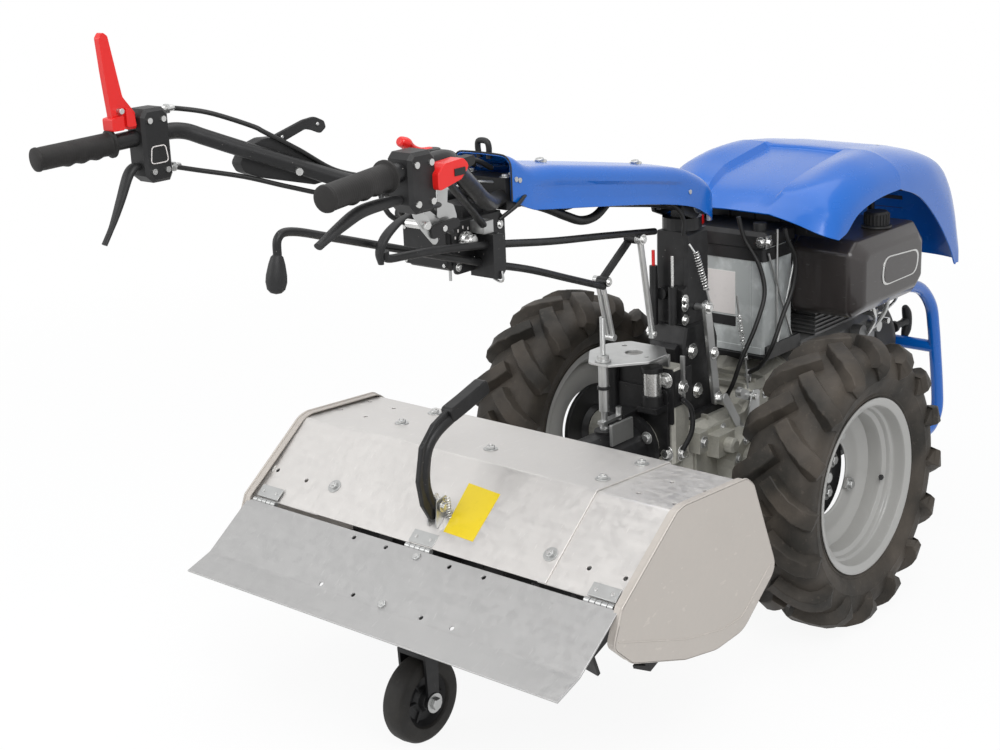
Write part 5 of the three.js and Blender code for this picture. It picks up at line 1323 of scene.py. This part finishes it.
def rear_flap():
    zinc, plate = "flap", "plate"
    sheet = sizes().sheet * 1000
    half = edges("rear_flap")[1][1]
    line = rounded([(-4, -2), (-102, -72), (-156, -90)], [0, 26, 0], 8, closed=False)
    line = [(HINGE_X + x, HINGE_Z + z) for x, z in line]
    flap = Shape().prism(strip(line, -sheet), (-half, half), "xz", zinc)
    flap = flap.piece("flap_sheet", "flap", "rear_flap", "galvanised", bevel=0.6, angle=40)
    out = Vector((-0.581, 0, 0.814))
    top = [(HINGE_X - 4, HINGE_Z - 2), (HINGE_X - 102, HINGE_Z - 72)]

    def on_flap(down, y, lift=0.0):
        a, b = Vector((top[0][0], y, top[0][1])), Vector((top[1][0], y, top[1][1]))
        return a.lerp(b, down) + out * lift

    rows = [(0.1, 136), (0.1, 61), (0.1, -82), (0.1, -156), (0.92, 139), (0.92, 63), (0.92, -90),
            (0.92, -156)]
    drilled(flap, [(on_flap(down, y), out, 4.2, 14) for down, y in rows])
    bolts = Shape()
    for down, y in ((0.1, -10), (0.92, -4)):
        bolts.bolt(on_flap(down, y, 0.1), out, 14, plate)
        bolts.tube([on_flap(down, y), on_flap(down, y, 8)], 4, "bright", 12)
    bolts.piece("flap_bolts", "flap", bevel=0.4)
    hinge, leaves = Shape(), Shape()
    for y in (-half + 40, 0, half - 40):
        for k in range(5):
            start = y - 28 + k * 11.4
            knuckle = hinge if k % 2 else leaves
            knuckle.tube([(HINGE_X, start, HINGE_Z), (HINGE_X, start + 10.2, HINGE_Z)], 5.3, plate, 20)
        leaves.loft([[(x, y + s, z + lift) for x, s, z in ((-814, -27, 347.6), (-814, 27, 347.6),
                                                           (-796, 27, 362.2),
                                                           (-796, -27, 362.2))] for lift in (1.2, 3.0)],
                    plate)
        hinge.loft([[on_flap(d, y + s, lift) for d, s in ((0.02, -27), (0.02, 27), (0.16, 27), (0.16, -27))]
                    for lift in (0.3, 2.0)], plate)
        for s in (-16, 16):
            leaves.bolt((-805, y + s, 357), SLOPE_UP, 6, "bright", washer=False)
    hinge.piece("flap_hinge_knuckles", "flap", bevel=0.4)
    leaves.piece("hood_hinge_leaves", "chassis", bevel=0.4)


def tines():
    for label in ("left", "right"):
        dress(f"rotor_{label}", "tine", 1.2, 2)
    axis_x = JOINTS["rotor_spin"]["pos_m"][0] * 1000 - AXLE_X
    axis_z = JOINTS["rotor_spin"]["pos_m"][2] * 1000
    bolts = Shape()
    start, end, sets = 25.3, HALF_WIDTH - 25, 4
    pitch = (end - start - 62) / sets
    for side, _ in SIDES:
        for k in range(sets):
            y = side * (start + 34 + k * pitch)
            for n in range(4):
                turn = -(n * math.pi / 2 + side * k * 0.4)
                for offset in (-0.22, 0.22):
                    way = Vector((math.sin(turn + offset), 0, math.cos(turn + offset)))
                    at = Vector((axis_x, y + side * 9, axis_z)) + way * 50
                    bolts.bolt(at, (0, side, 0), 11, "plate")
    bolts.piece("tine_bolts", "rotor", bevel=0.4)


def depth_lever():
    dark, plate = "black", "plate"
    lever = Shape()
    arm = [(-774, 0, 402), (-790, 0, 428), (-796, 0, 462), (-787, 0, 506), (-762, 0, 531), (-718, 0, 549),
           (-655, 0, 567)]
    line = smooth(arm, 8)
    wide = [9 + 2.0 * k / len(line) for k in range(len(line))]
    lever.tube([(p.x - 4, -5, p.z + 2) for p in line], wide, dark, 16)
    blade = rounded(strip([(-772, 394), (-790, 424), (-796, 460), (-786, 506), (-762, 530), (-718, 549),
                           (-660, 566)], 22), 9, 4)
    lever.prism(blade, (-10, 0), "xz", dark)
    lever.prism(rounded(strip([(-735, 541), (-690, 554), (-640, 570)], 26), 8, 4), (-17, 7), "xz", dark)
    lever.piece("depth_handle", "chassis", "depth_lever", "black_paint", bevel=2.4, rounds=3)
    foot = Shape()
    for y in (-16, 3):
        base = [(x, on_hood(x, 0)[0].z + 0.2) for x in (-790, -750)]
        foot.prism(rounded([*base, (-762, 424), (-786, 420)], 4, 3), (y, y + 3), "xz", plate)
    foot.tube([(-774, -20, 408), (-774, 10, 408)], 5, "bright", 16)
    foot.bolt((-774, -20, 408), (0, -1, 0), 11, "bright")
    foot.spring((-768, -24, 424), (-766, -24, 384), 4.5, 9, 1.1, "bright")
    foot.piece("depth_clevis", "chassis", bevel=0.5)


# ---- handle
COVER_TOP = [(-622, 972), (-606, 968), (-590, 960), (-566, 946), (-530, 940), (-470, 932), (-183, 883),
             (-110, 866), (-50, 838), (-14, 806), (0, 776)]
COVER_LOW = [(-622, 898), (-606, 892), (-590, 884), (-566, 874), (-533, 868), (-236, 824), (-110, 798),
             (-64, 778), (-24, 757), (-6, 749), (0, 749)]
COVER_NOSE = 62  # length over which the cover narrows to its tip


def plateau(value, low, high, run):
    """1 well between low and high, falling to 0 at both over a length of `run`."""
    return max(0.0, min(1.0, (value - low) / run, (high - value) / run))


def handle_cover():
    blue, dark, plate = "blue", "plastic", "plate"
    half = edges("handle_cover")[1][1]
    stations = [-618, -606, -596, -580, -560, -530, -500, -470, -430, -390, -350, -310, -270, -230, -190,
                -150, -120, -100, -80, -62, -48, -36, -26, -17, -10, -5, -1.5]
    top_line = smooth([(x, 0, z) for x, z in COVER_TOP], 8)
    low_line = smooth([(x, 0, z) for x, z in COVER_LOW], 8)
    top_flat, low_flat = [(p.x, p.z) for p in top_line], [(p.x, p.z) for p in low_line]
    rows = []
    for x in stations:
        top, low = height_at(top_flat, x), height_at(low_flat, x)
        corner = min(20.0, (top - low) * 0.6)
        along = max(0.0, (x + COVER_NOSE) / COVER_NOSE)
        width = half * math.sqrt(max(0.05, 1 - 0.86 * along ** 2.2))
        side = []
        depth = top - corner - low
        for k in range(9):
            t = k / 8
            window = plateau(x, -560, -130, 16) * plateau(t, 0.1, 0.86, 0.08)
            side.append((width - 4.0 * window, low + depth * t))
        corner = min(corner, width * 0.8)
        arc = [(width - corner * (1 - math.cos(a)), top - corner * (1 - math.sin(a)))
               for a in (math.radians(15 * n) for n in range(1, 7))]
        flat = width - corner
        crown = [(y, top + 2.0 * (1 - (y / half) ** 2) - 1.0) for y in (flat * 0.8, flat * 0.4, 0)]
        right = [*side, *arc, *crown]
        section = [(x, -y, z) for y, z in right] + [(x, y, z) for y, z in reversed(right[:-1])]
        rows.append(section)
    Shape().grid(rows, blue).piece("cover_shell", "handlebar", "handle_cover", "blue_paint", bevel=0.8,
                                   wall=3.4, angle=34)
    edge = Shape()
    rear = [(p[0] - 0.2, p[1], p[2]) for p in rows[0]]
    edge.tube(rear, 1.5, dark, 10)
    edge.piece("cover_edge_trim", "handlebar")
    bolts = Shape()
    for x in (-470, -198):
        z = height_at(top_flat, x)
        bolts.bolt((x, 0, z + 0.8), (-0.16, 0, 0.98), 14, plate)
    for x, z in ((-607, 931), (-598, 928), (-113, 826)):
        for side in (-1, 1):
            bolts.tube([(x, side * (half - 1), z), (x, side * (half + 2.2), z)], 4.4, plate, 16)
    bolts.piece("cover_screws", "handlebar", bevel=0.4)
    eye = Shape()
    eye.tube(smooth([(-612, -10, 962), (-613, -12, 980), (-614, -8, 990), (-614, 8, 990), (-613, 12, 980),
                     (-612, 10, 962)], 6), 5, dark, 14)
    eye.piece("cable_eye", "handlebar", bevel=0.3)


def handle_beam():
    dark, plate = "black", "plate"
    dress("handle_beam", "black", 2.5, 3)
    under = Shape()
    for side in (-1, 1):
        path = [(-590, side * 34, 894), (-470, side * 34, 866), (-183, side * 34, 815),
                (-110, side * 34, 800)]
        under.tube(smooth(path, 6), 3, dark, 10)
    cheek = rounded([(-110, 846), (-92, 846), (-40, 812), (-30, 780), (-60, 762), (-96, 776)], 8, 4)
    for side, span in ((-1, (-38, -30.5)), (1, (30.5, 38))):
        under.prism(cheek, span, "xz", dark)
        under.bolt((-50, side * 38, 790), (0, side, 0), 19, plate)
    for x in (-612, -596):
        for y in (-44, 44):
            under.bolt((x, y, 934.2), (0, 0, 1), 11, plate)
    under.piece("beam_fittings", "handlebar", bevel=0.6)


BAR = [(-612, 38, 901), (-650, 52, 904), (-705, 90, 912), (-789, 146, 941), (-864, 192, 977),
       (-930, 232, 1008), (-975, 260, 1030), (-1003, 276, 1043), (-1040, 283, 1046), (-1130, 289, 1042)]
GRIP_ENDS = [(-1131.2, 289, 1042), (-1262, 305, 1035)]


def handlebars():
    dark, rubber = "black", "grip"
    for side, label in SIDES:
        route = BAR if side > 0 else other_side(BAR)
        Shape().tube(smooth(route, 8), 13, dark, 24).piece(
            f"bar_{label}", "handlebar", f"handlebar_{label}", "black_paint", bevel=0.6)
        start, end = (Vector(p) for p in (GRIP_ENDS if side > 0 else other_side(GRIP_ENDS)))
        length = (end - start).length
        way = (end - start).normalized()
        profile = [(0, 0), (20, 0), (22, 1.5), (22, 5), (18.0, 7)]
        ribs, first = sizes().grip_ribs, 10.0
        step = (length - 24) / ribs
        for k in range(ribs):
            at = first + k * step
            profile += [(17.25, at), (17.5, at + step * 0.3), (17.5, at + step * 0.75)]
        profile += [(17.2, length - 9), (18.4, length - 6), (17.6, length - 2), (13, length), (0, length)]

        def fitted(point, start=start, way=way, length=length):
            """Finger hollows along the underside, deepest straight below."""
            along = (point - start).dot(way)
            out = point - start - way * along
            share = min(max((along - 8) / 16, 0), 1) * min(max((length * 0.72 - along) / 16, 0), 1)
            below = max(0.0, -out.z / max(out.length, 1))
            return point + out * (0.15 * below * share * (1 + math.sin(along / 3.9)) / 2)

        grip = Shape().turn(profile, start, end - start, rubber, 48).moved(fitted)
        grip.piece(
            f"hand_grip_{label}", "handlebar", f"grip_{label}", "grip_rubber", bevel=0.3)


def swelling(line, thin, extra, start):
    """Radii along a line that swell by `extra` and shrink again, from the share `start` of a swell on."""
    return [thin + extra * math.sin(math.pi * min(1, k / len(line) + start)) for k in range(len(line))]


def controls():
    dark, plate, bright, red = "plastic", "plate", "bright", "red"
    for node in ("bracket_left", "bracket_right"):
        dress(node, "plastic", 3.5, 3)
    slope = -86 / 141  # of the left bar in plan, where the lock's housing lies along it

    def beside_bar(outline, near, far):
        return [[(x, 192 + slope * (x + 864) + d, z) for x, z in outline] for d in (near, far)]

    housing = [(-925, 982), (-912, 1008), (-890, 1019), (-866, 1019), (-818, 972), (-779, 948), (-824, 937),
               (-900, 957), (-919, 967)]
    hook = [(-886, 1004), (-876, 1019), (-830, 1042), (-814, 1046), (-801, 1038), (-799, 1027), (-807, 1018),
            (-818, 1024), (-828, 1027), (-866, 1006)]
    lock = Shape().loft(beside_bar(rounded(housing, [14, 14, 14, 10, 8, 6, 6, 12, 10], 5), 12, 35), dark)
    lock.loft(beside_bar(rounded(hook, [6, 8, 10, 9, 7, 6, 4, 4, 8, 6], 4), 18.5, 24.5), dark)
    for pin in ((-812, 1034), (-862, 1018)):
        (near,), (far,) = beside_bar([pin], 15, 18.4)
        lock.tube([Vector(near), Vector(far)], 3, bright, 12)
    lock.piece("bar_lock", "handlebar", "lock_lever", "black_plastic", bevel=2.2, rounds=3)
    stop = Shape()
    blade = [(-1108, 1060), (-1091.6, 1060), (-1092, 1084), (-1112, 1110), (-1119, 1150), (-1128, 1202),
             (-1137, 1209), (-1144, 1200), (-1141, 1150), (-1137, 1104), (-1134, 1072)]
    stop.prism(rounded(blade, [3, 3, 4, 14, 20, 5, 5, 5, 20, 14, 6], 4), (278, 290), "xz", red)
    stop.prism(rounded([(-1140, 1061), (-1118, 1061), (-1118, 1084), (-1140, 1080)], 3, 3), (272, 296),
               "xz", red)
    stop.prism(rounded([(-1112, 1064), (-1094, 1064), (-1098, 1084), (-1112, 1096)], 3, 3), (273, 277.8),
               "xz", red)
    stop.tube([(-1122, 269, 1090), (-1122, 298, 1090)], 4.5, bright, 16)
    stop.piece("stop_blade", "handlebar", "stop_lever", "red_plastic", bevel=1.6, rounds=3)
    hand = Shape()
    hand.prism(rounded([(-1036, -282), (-992, -274), (-992, -240), (-1036, -244)], 6, 4), (1040, 1054),
               "xy", dark)
    hand.tube([(-1014, -258, 1044), (-1014, -258, 1058)], 14, dark, 24)
    hand.tube(smooth([(-1010, -256, 1055), (-1026, -252, 1056), (-1038, -249, 1061), (-1046, -247, 1067)], 4),
              [6, 6, 6, 6, 6, 6, 6, 6, 6.5, 7, 7.5, 8, 8], red, 14, flat=0.8)
    hand.tube(smooth([(-1043, -247, 1065), (-1051, -246, 1070), (-1060, -244, 1074)], 4),
              [7, 9, 10, 10.5, 10.5, 10, 9.5, 9, 6], red, 18, flat=0.8)
    hand.piece("throttle_hand_lever", "handlebar", "throttle_lever", "red_plastic", bevel=1.2, rounds=3)
    levers = Shape()
    start = [(-1092.4, 285, 1000), (-1101, 285, 1000), (-1112, 286, 988), (-1128, 288, 954),
             (-1146, 289, 920), (-1165, 290, 891)]
    line = smooth(start, 6)
    levers.tube(line, swelling(line, 6, 5, 0.18), dark, 18,
                flat=0.62)
    levers.piece("left_hand_lever", "handlebar", "clutch_lever", "black_plastic", bevel=0.6)
    brake = smooth([(-1110, -286, 1006), (-1136, -288, 1007), (-1190, -296, 1006), (-1232, -300, 994),
                    (-1274, -302, 977)], 6)
    lever = Shape().tube(brake, swelling(brake, 7, 4.5, 0.1),
                         dark, 18, flat=0.7)
    lever.piece("right_hand_lever", "handlebar", "brake_lever", "black_plastic", bevel=0.6)
    bits = Shape()
    for x, z in ((-1078, 1070), (-1052, 1070), (-1078, 992), (-1052, 992)):
        bits.tube([(x, 263.8, z), (x, 260.5, z)], 4.6, bright, 16)
    frame_line = rounded([(-1082, 1004), (-1048, 1004), (-1052, 1030), (-1078, 1030)], 6, 4)
    for a, b in zip(frame_line, [*frame_line[1:], frame_line[0]]):
        bits.tube([(a[0], 263.4, a[1]), (b[0], 263.4, b[1])], 0.9, "label", 6)
    for x, z in ((-1096, 1052), (-1068, 1052), (-1096, 1000), (-1068, 1000)):
        bits.tube([(x, -308.2, z), (x, -311, z)], 4.6, bright, 16)
    bits.tube([(-860, 177, 966), (-868, 166, 966)], 6, bright, 16)
    bits.piece("bracket_screws", "handlebar", bevel=0.3)
    switch = Shape()
    switch.prism(rounded([(-1066, 1012), (-1020, 1022), (-1002, 1038), (-1014, 1050), (-1050, 1048),
                          (-1066, 1036)], 7, 4), (-318, -296), "xz", red)
    switch.prism(rounded([(-1022, 1026), (-986, 1038), (-986, 1050), (-1016, 1048)], 4, 3), (-314, -299),
                 "xz", dark)
    switch.block((-1034, -1012), (-319.4, -318), (1028, 1038), dark)
    switch.piece("stop_switch", "handlebar", bevel=2.0, rounds=3)
    quadrant = Shape()
    fan = [(-1030, 972), (-996, 984), (-966, 972), (-958, 950), (-1004, 938)]
    quadrant.prism(rounded(fan, 8, 4), (-252, -249), "xz", plate)
    guard = [(-1052, 984), (-1030, 968), (-1010, 930), (-1018, 924), (-1042, 950), (-1058, 974)]
    quadrant.prism(rounded(guard, 6, 4), (-262, -258), "xz", plate)
    quadrant.prism(rounded([(-1030, 952), (-972, 956), (-968, 944), (-1026, 934)], 6, 4), (-266, -258),
                   "xz", dark)
    quadrant.tube([(-1036, -268, 956), (-1036, -228, 956)], 6, bright, 16)
    quadrant.tube([(-1002, -268, 946), (-1002, -246, 946)], 4.5, bright, 16)
    quadrant.tube(smooth([(-1030, -256, 985), (-1010, -250, 972), (-990, -246, 950), (-960, -240, 930)]), 4,
                  dark, 12)
    strap = rounded([(-998, 1034), (-976, 1024), (-984, 958), (-1004, 958)], 5, 4)
    quadrant.prism(strap, (-255, -252), "xz", plate)
    quadrant.tube([(-996, -271.5, 1038.5), (-979, -262, 1031)], 16, dark, 28)
    quadrant.piece("throttle_quadrant", "handlebar", bevel=0.8)


# ---- gear selection
UPPER_ROD = [(-939, -84, 880), (-934, -84, 868), (-890, -84, 864), (-810, -82, 857), (-690, -78, 841),
             (-520, -58, 811), (-330, -24, 780), (-140, 0, 750)]
LOWER_ROD = [(-1132, -64, 904), (-1128, -64, 934), (-1100, -64, 938), (-1015, -64, 912), (-850, -63, 859),
             (-689, -62, 808), (-560, -44, 769), (-420, -20, 720), (-300, 0, 678)]


def shift_rods():
    dark, plate, bright = "black", "plate", "bright"
    upper = Shape().tube(smooth(UPPER_ROD, 8), 6.4, dark, 18)
    paddle = smooth([(-948, -84, 862), (-950, -84, 880), (-938, -85, 900), (-914, -86, 916),
                     (-886, -87, 926)], 6)
    upper.tube(paddle, [4 + 5 * math.sin(math.pi * (k + 3) / (len(paddle) + 5)) for k in range(len(paddle))],
               "plastic", 18, flat=0.6)
    upper.piece("upper_gear_rod", "handlebar", "shift_rod_upper", "black_paint", bevel=2.0, rounds=3)
    lower = Shape().tube(smooth(LOWER_ROD, 8), 6.4, dark, 18)
    lower.turn([(0, -4), (5, -4), (9, 0), (12, 10), (15, 26), (15.4, 36), (13, 46), (8, 51), (0, 53)],
               (-1132.6, -64, 908), (-0.14, 0, -0.99), "plastic", 40)
    lower.piece("lower_gear_rod", "handlebar", "shift_rod_lower", "black_paint", bevel=0.6)
    front = Shape()
    front.tube([(-204, -13, 752), (-203.4, -13, 742), (-168.6, -11, 566), (-168, -11, 552)], [9, 6, 6, 7],
               plate, 18)
    front.tube([(-204, -20, 749), (-204, 8, 749)], 8.5, plate, 20)
    front.bolt((-204, -20, 749), (0, -1, 0), 11, bright)
    front.tube([(-168, -20, 560), (-168, -2, 560)], 5, bright, 14)
    front.piece("front_gear_link", "handlebar", "shift_link_front", "zinc_plate", bevel=0.5)
    rear = Shape()
    rear.prism(rounded(strip([(-300, 690), (-208, 752)], -15), 6, 4), (7.5, 14), "xz", dark)
    for x, z in ((-294, 686), (-207, 749)):
        rear.tube([(x, -8, z), (x, 16, z)], 9, dark, 20)
        rear.bolt((x, -8, z), (0, -1, 0), 9, bright)
    for y in (8, 20):
        rear.tube([(-294, y, 690), (-264, y, 572)], 4.4, plate, 14)
    rear.tube([(-264, 4, 572), (-264, 26, 572)], 6.5, plate, 16)
    rear.tube([(-294, 4, 688), (-294, 26, 688)], 6.5, plate, 16)
    rear.piece("rear_gear_link", "handlebar", "shift_link_rear", "zinc_plate", bevel=0.5)


def control_panel():
    dark, plate, bright = "black", "plate", "bright"
    dress("control_panel", "black", 3, 3)
    face = Shape()
    face.prism(rounded([(-46, 812), (46, 812), (46, 876), (-46, 876)], 5, 4), (-764.5, -762.2), "yz", dark)
    knob_x, knob_z, side_y = -730, 854, -52.6
    face.turn([(0, 0), (11, 0), (14, 2), (14, 8), (10.5, 11), (10.5, 21), (8, 24), (0, 24)],
              (knob_x, side_y, knob_z), (0, -1, 0), bright, 36)
    for k in range(8):
        turn = math.pi * (k - 4) / 5
        x, z = knob_x + 20 * math.sin(turn), knob_z + 20 * math.cos(turn)
        face.block((x - 1.4, x + 1.4), (side_y - 0.5, side_y), (z - 2.4, z + 2.4), "label")
    for x in (-690, -678, -666):
        for z in (840, 851, 862):
            face.block((x - 3, x + 3), (side_y - 0.5, side_y), (z - 2.4, z + 2.4), "label")
    for y in (-41, 41):
        for z in (817, 871):
            face.bolt((-764.5, y, z), (-1, 0, 0), 6, bright, washer=False)
    face.tube([(-740, -30, 806), (-740, -30, 786)], 2.5, plate, 8)
    face.tube(smooth([(-690, -96, 800), (-690, -98, 786), (-684, -86, 780), (-680, -70, 782)], 5), 2, plate,
              8)
    side_plate = rounded([(-752, 800), (-640, 800), (-628, 812), (-628, 872), (-640, 884), (-758, 884)], 8, 4)
    face.prism(side_plate, (-52.5, -48.3), "xz", dark)
    for x, z in ((-744, 812), (-640, 862), (-700, 818), (-660, 815)):
        face.bolt((x, -52.6, z), (0, -1, 0), 8, bright)
    face.piece("panel_face", "handlebar", bevel=0.5)
    wires = Shape()
    routes = [[(-762, 30, 874), (-800, 42, 900), (-790, 60, 940), (-730, 40, 962), (-660, 24, 968),
               (-618, 16, 950)], [(-764, 10, 880), (-812, 4, 910), (-800, -20, 950), (-740, -30, 972),
                                  (-670, -26, 970), (-618, -20, 948)], [(-755, -40, 880), (-800, -70, 896),
                                                                        (-880, -150, 930),
                                                                        (-960, -230, 968),
                                                                        (-1040, -272, 984)],
              [(-640, -52, 870), (-610, -66, 890), (-580, -58, 900), (-540, -36, 890), (-480, -34, 874)],
              [(-700, 48, 860), (-740, 80, 880), (-700, 92, 900), (-640, 60, 910)],]
    for k, route in enumerate(routes):
        wires.tube(smooth(route, 8), 4.4 if k < 3 else 3.4, "sheath", 12)
    wires.tube(smooth([(-742, 20, 880), (-780, 10, 896), (-770, -30, 930), (-700, -48, 940),
                       (-640, -40, 930)]), 2.4, "plate", 10)
    wires.piece("panel_wires", "handlebar")


# ---- stage
def sight(nodes):
    """1 for rays that show the background, also in metal and glass, and 0 for light on surfaces."""
    rays = [nodes.node("ShaderNodeLightPath", output=kind)
            for kind in ("Is Camera Ray", "Is Glossy Ray", "Is Transmission Ray")]
    return (rays[0] + rays[1] + rays[2]).clamped()


FLOOR_HALF, FLOOR_Z = 9000, -0.6
PAPER, WHITE, SKY_COLOUR = (0.90, 0.90, 0.90, 1), (1, 1, 1, 1), (0.94, 0.97, 1.0, 1)
NEAR_WHITE = 0.92  # how white the floor shows near the machine
WHITE_FROM, WHITE_RUN = 1.5, 2.0  # metres from the origin where it starts to turn white, and over which


def paper_floor():
    """Pale paper that shows white round the machine and keeps its shadow."""
    ends = (-FLOOR_HALF, FLOOR_HALF)
    floor = Shape().grid([[(x, y, FLOOR_Z) for x in ends] for y in ends], None)
    mesh = bpy.data.meshes.new("floor")
    mesh.from_pydata([p / 1000 for p in floor.points], [], floor.faces)
    look = Look("floor_paper")
    matte = look.node("ShaderNodeBsdfPrincipled", None, {"Base Color": PAPER, "Roughness": 0.9})
    glow = look.node("ShaderNodeEmission", None, {"Color": WHITE, "Strength": 1.0})
    away = look.node("ShaderNodeVectorMath", {"operation": "LENGTH"}, {0: look.place}, output="Value")
    white = NEAR_WHITE + ((away - WHITE_FROM) / WHITE_RUN).clamped() * (1 - NEAR_WHITE)
    share = sight(look) * white
    mixed = look.node("ShaderNodeMixShader", None, {0: share, 1: matte, 2: glow})
    look.node("ShaderNodeOutputMaterial", None, {"Surface": mixed})
    mesh.materials.append(look.material)
    thing = bpy.data.objects.new("floor", mesh)
    bpy.context.scene.collection.objects.link(thing)


def sky():
    """A soft even light on the machine, and white where the background shows."""
    world = bpy.data.worlds.new("studio")
    world.use_nodes = True
    nodes = Nodes(world.node_tree)
    strength = bpy.context.scene.tractor_stage.sky
    soft = nodes.node("ShaderNodeBackground", None, {"Color": SKY_COLOUR, "Strength": strength})
    white = nodes.node("ShaderNodeBackground", None, {"Color": WHITE})
    mixed = nodes.node("ShaderNodeMixShader", None, {0: sight(nodes), 1: soft, 2: white})
    nodes.node("ShaderNodeOutputWorld", None, {"Surface": mixed})
    bpy.context.scene.world = world


def lamp(name, place, aim, size, power):
    """A square soft box that faces the height `aim` above the origin."""
    light = bpy.data.lights.new(name, "AREA")
    light.shape = "SQUARE"
    light.size = size
    light.energy = power
    thing = bpy.data.objects.new(name, light)
    thing.location = place
    thing.rotation_euler = (Vector((0, 0, aim)) - Vector(place)).to_track_quat("-Z", "Y").to_euler()
    bpy.context.scene.collection.objects.link(thing)


def camera():
    stage = bpy.context.scene.tractor_stage
    yaw, pitch, roll = stage.camera_yaw, stage.camera_pitch, stage.camera_roll
    ahead = Vector((math.cos(yaw) * math.cos(pitch), math.sin(yaw) * math.cos(pitch), -math.sin(pitch)))
    right = Vector((math.sin(yaw), -math.cos(yaw), 0))
    up = right.cross(ahead)
    side = math.cos(roll) * right + math.sin(roll) * up
    top = math.cos(roll) * up - math.sin(roll) * right
    data = bpy.data.cameras.new("camera")
    data.lens = stage.lens
    data.sensor_width = 36
    thing = bpy.data.objects.new("camera", data)
    place = Vector(stage.camera_place) + Vector((AXLE_X / 1000, 0, 0))
    columns = Matrix((side, top, -ahead)).transposed().to_4x4()
    thing.matrix_world = Matrix.Translation(place) @ columns
    bpy.context.scene.collection.objects.link(thing)
    bpy.context.scene.camera = thing


# ---- operators
def operator(label, note, build):
    """An operator that builds one group of pieces."""
    def execute(self, context):
        build()
        return {"FINISHED"}

    name = label.lower().replace(" ", "_")
    members = {"bl_idname": f"tractor.{name}", "bl_label": label, "__doc__": note, "execute": execute}
    return type(f"TRACTOR_OT_{name}", (bpy.types.Operator,), members)


def drive_wheels():
    for side, label in SIDES:
        drive_tyre(side, label)
        drive_rim(side, label)


def stage_set():
    camera()
    paper_floor()
    sky()
    stage = bpy.context.scene.tractor_stage
    lamp("key", (-2.2, -2.6, 3.4), 0.5, 2.6, stage.lamp)
    lamp("fill", (-3.4, 2.2, 2.2), 0.5, 2.4, stage.fill)
    lamp("top", (0.3, 0.2, 3.6), 0.4, 3.0, stage.fill)
    bpy.context.scene.view_settings.view_transform = "Standard"


OPERATORS = (
    operator("Finishes", "Makes the paints, plated steels, castings and rubbers", make_finishes),
    operator("Wheels", "Builds the drive tyres, rims and hubs", drive_wheels),
    operator("Tail Wheel", "Builds the castor wheel and its axle", tail_wheel),
    operator("Cowl", "Builds the engine cowl with its louvres", engine_cowl),
    operator("Guard", "Builds the front guard and the engine cradle", front_guard),
    operator("Tank", "Builds the fuel tank and its cap", fuel_tank),
    operator("Engine", "Details the engine, air cleaner and silencer", engine),
    operator("Starter", "Builds the recoil starter and its pull handle", recoil_starter),
    operator("Battery", "Builds the battery, its hold-down and terminals", battery),
    operator("Cables", "Builds the control cables and hoses", cables),
    operator("Gearbox", "Details the gearbox and clutch housing", gearbox),
    operator("Column", "Details the column, its springs and the lever bar", column),
    operator("Hitch", "Builds the hitch, selector plate and depth screw", hitch),
    operator("Hood", "Builds the hood, its bolts and blank signs", tiller_hood),
    operator("End Plates", "Builds the hood's end plates", end_plates),
    operator("Flap", "Builds the rear flap and its hinges", rear_flap),
    operator("Tines", "Details the rotor with its bolts", tines),
    operator("Depth Lever", "Builds the depth lever and its clevis", depth_lever),
    operator("Cover", "Builds the handle's blue cover", handle_cover),
    operator("Beam", "Details the handle beam", handle_beam),
    operator("Handlebars", "Builds the bars and grips", handlebars),
    operator("Controls", "Builds the brackets, levers and switches", controls),
    operator("Gear Rods", "Builds the gear rods and their links", shift_rods),
    operator("Panel", "Builds the control panel and its wires", control_panel),
    operator("Stage", "Builds the floor, the light and the camera", stage_set),
)


class TRACTOR_PT_pieces(bpy.types.Panel):
    """Lists the sizes and the pieces of the tractor."""

    bl_label = "Walking Tractor"
    bl_idname = "TRACTOR_PT_pieces"
    bl_space_type = "VIEW_3D"
    bl_region_type = "UI"
    bl_category = "Tractor"

    def draw(self, context):
        for group in (context.scene.tractor_sizes, context.scene.tractor_stage):
            for key in group.__annotations__:
                self.layout.prop(group, key)
        for kind in OPERATORS:
            self.layout.operator(kind.bl_idname)


CLASSES = (TractorSizes, StageSizes, *OPERATORS, TRACTOR_PT_pieces)


def register():
    for kind in CLASSES:
        bpy.utils.register_class(kind)
    bpy.types.Scene.tractor_sizes = bpy.props.PointerProperty(type=TractorSizes)
    bpy.types.Scene.tractor_stage = bpy.props.PointerProperty(type=StageSizes)


def unregister():
    del bpy.types.Scene.tractor_stage
    del bpy.types.Scene.tractor_sizes
    for kind in reversed(CLASSES):
        bpy.utils.unregister_class(kind)


def main():
    register()
    for kind in OPERATORS:
        group, name = kind.bl_idname.split(".")
        getattr(getattr(bpy.ops, group), name)()


if __name__ == "__main__":
    main()
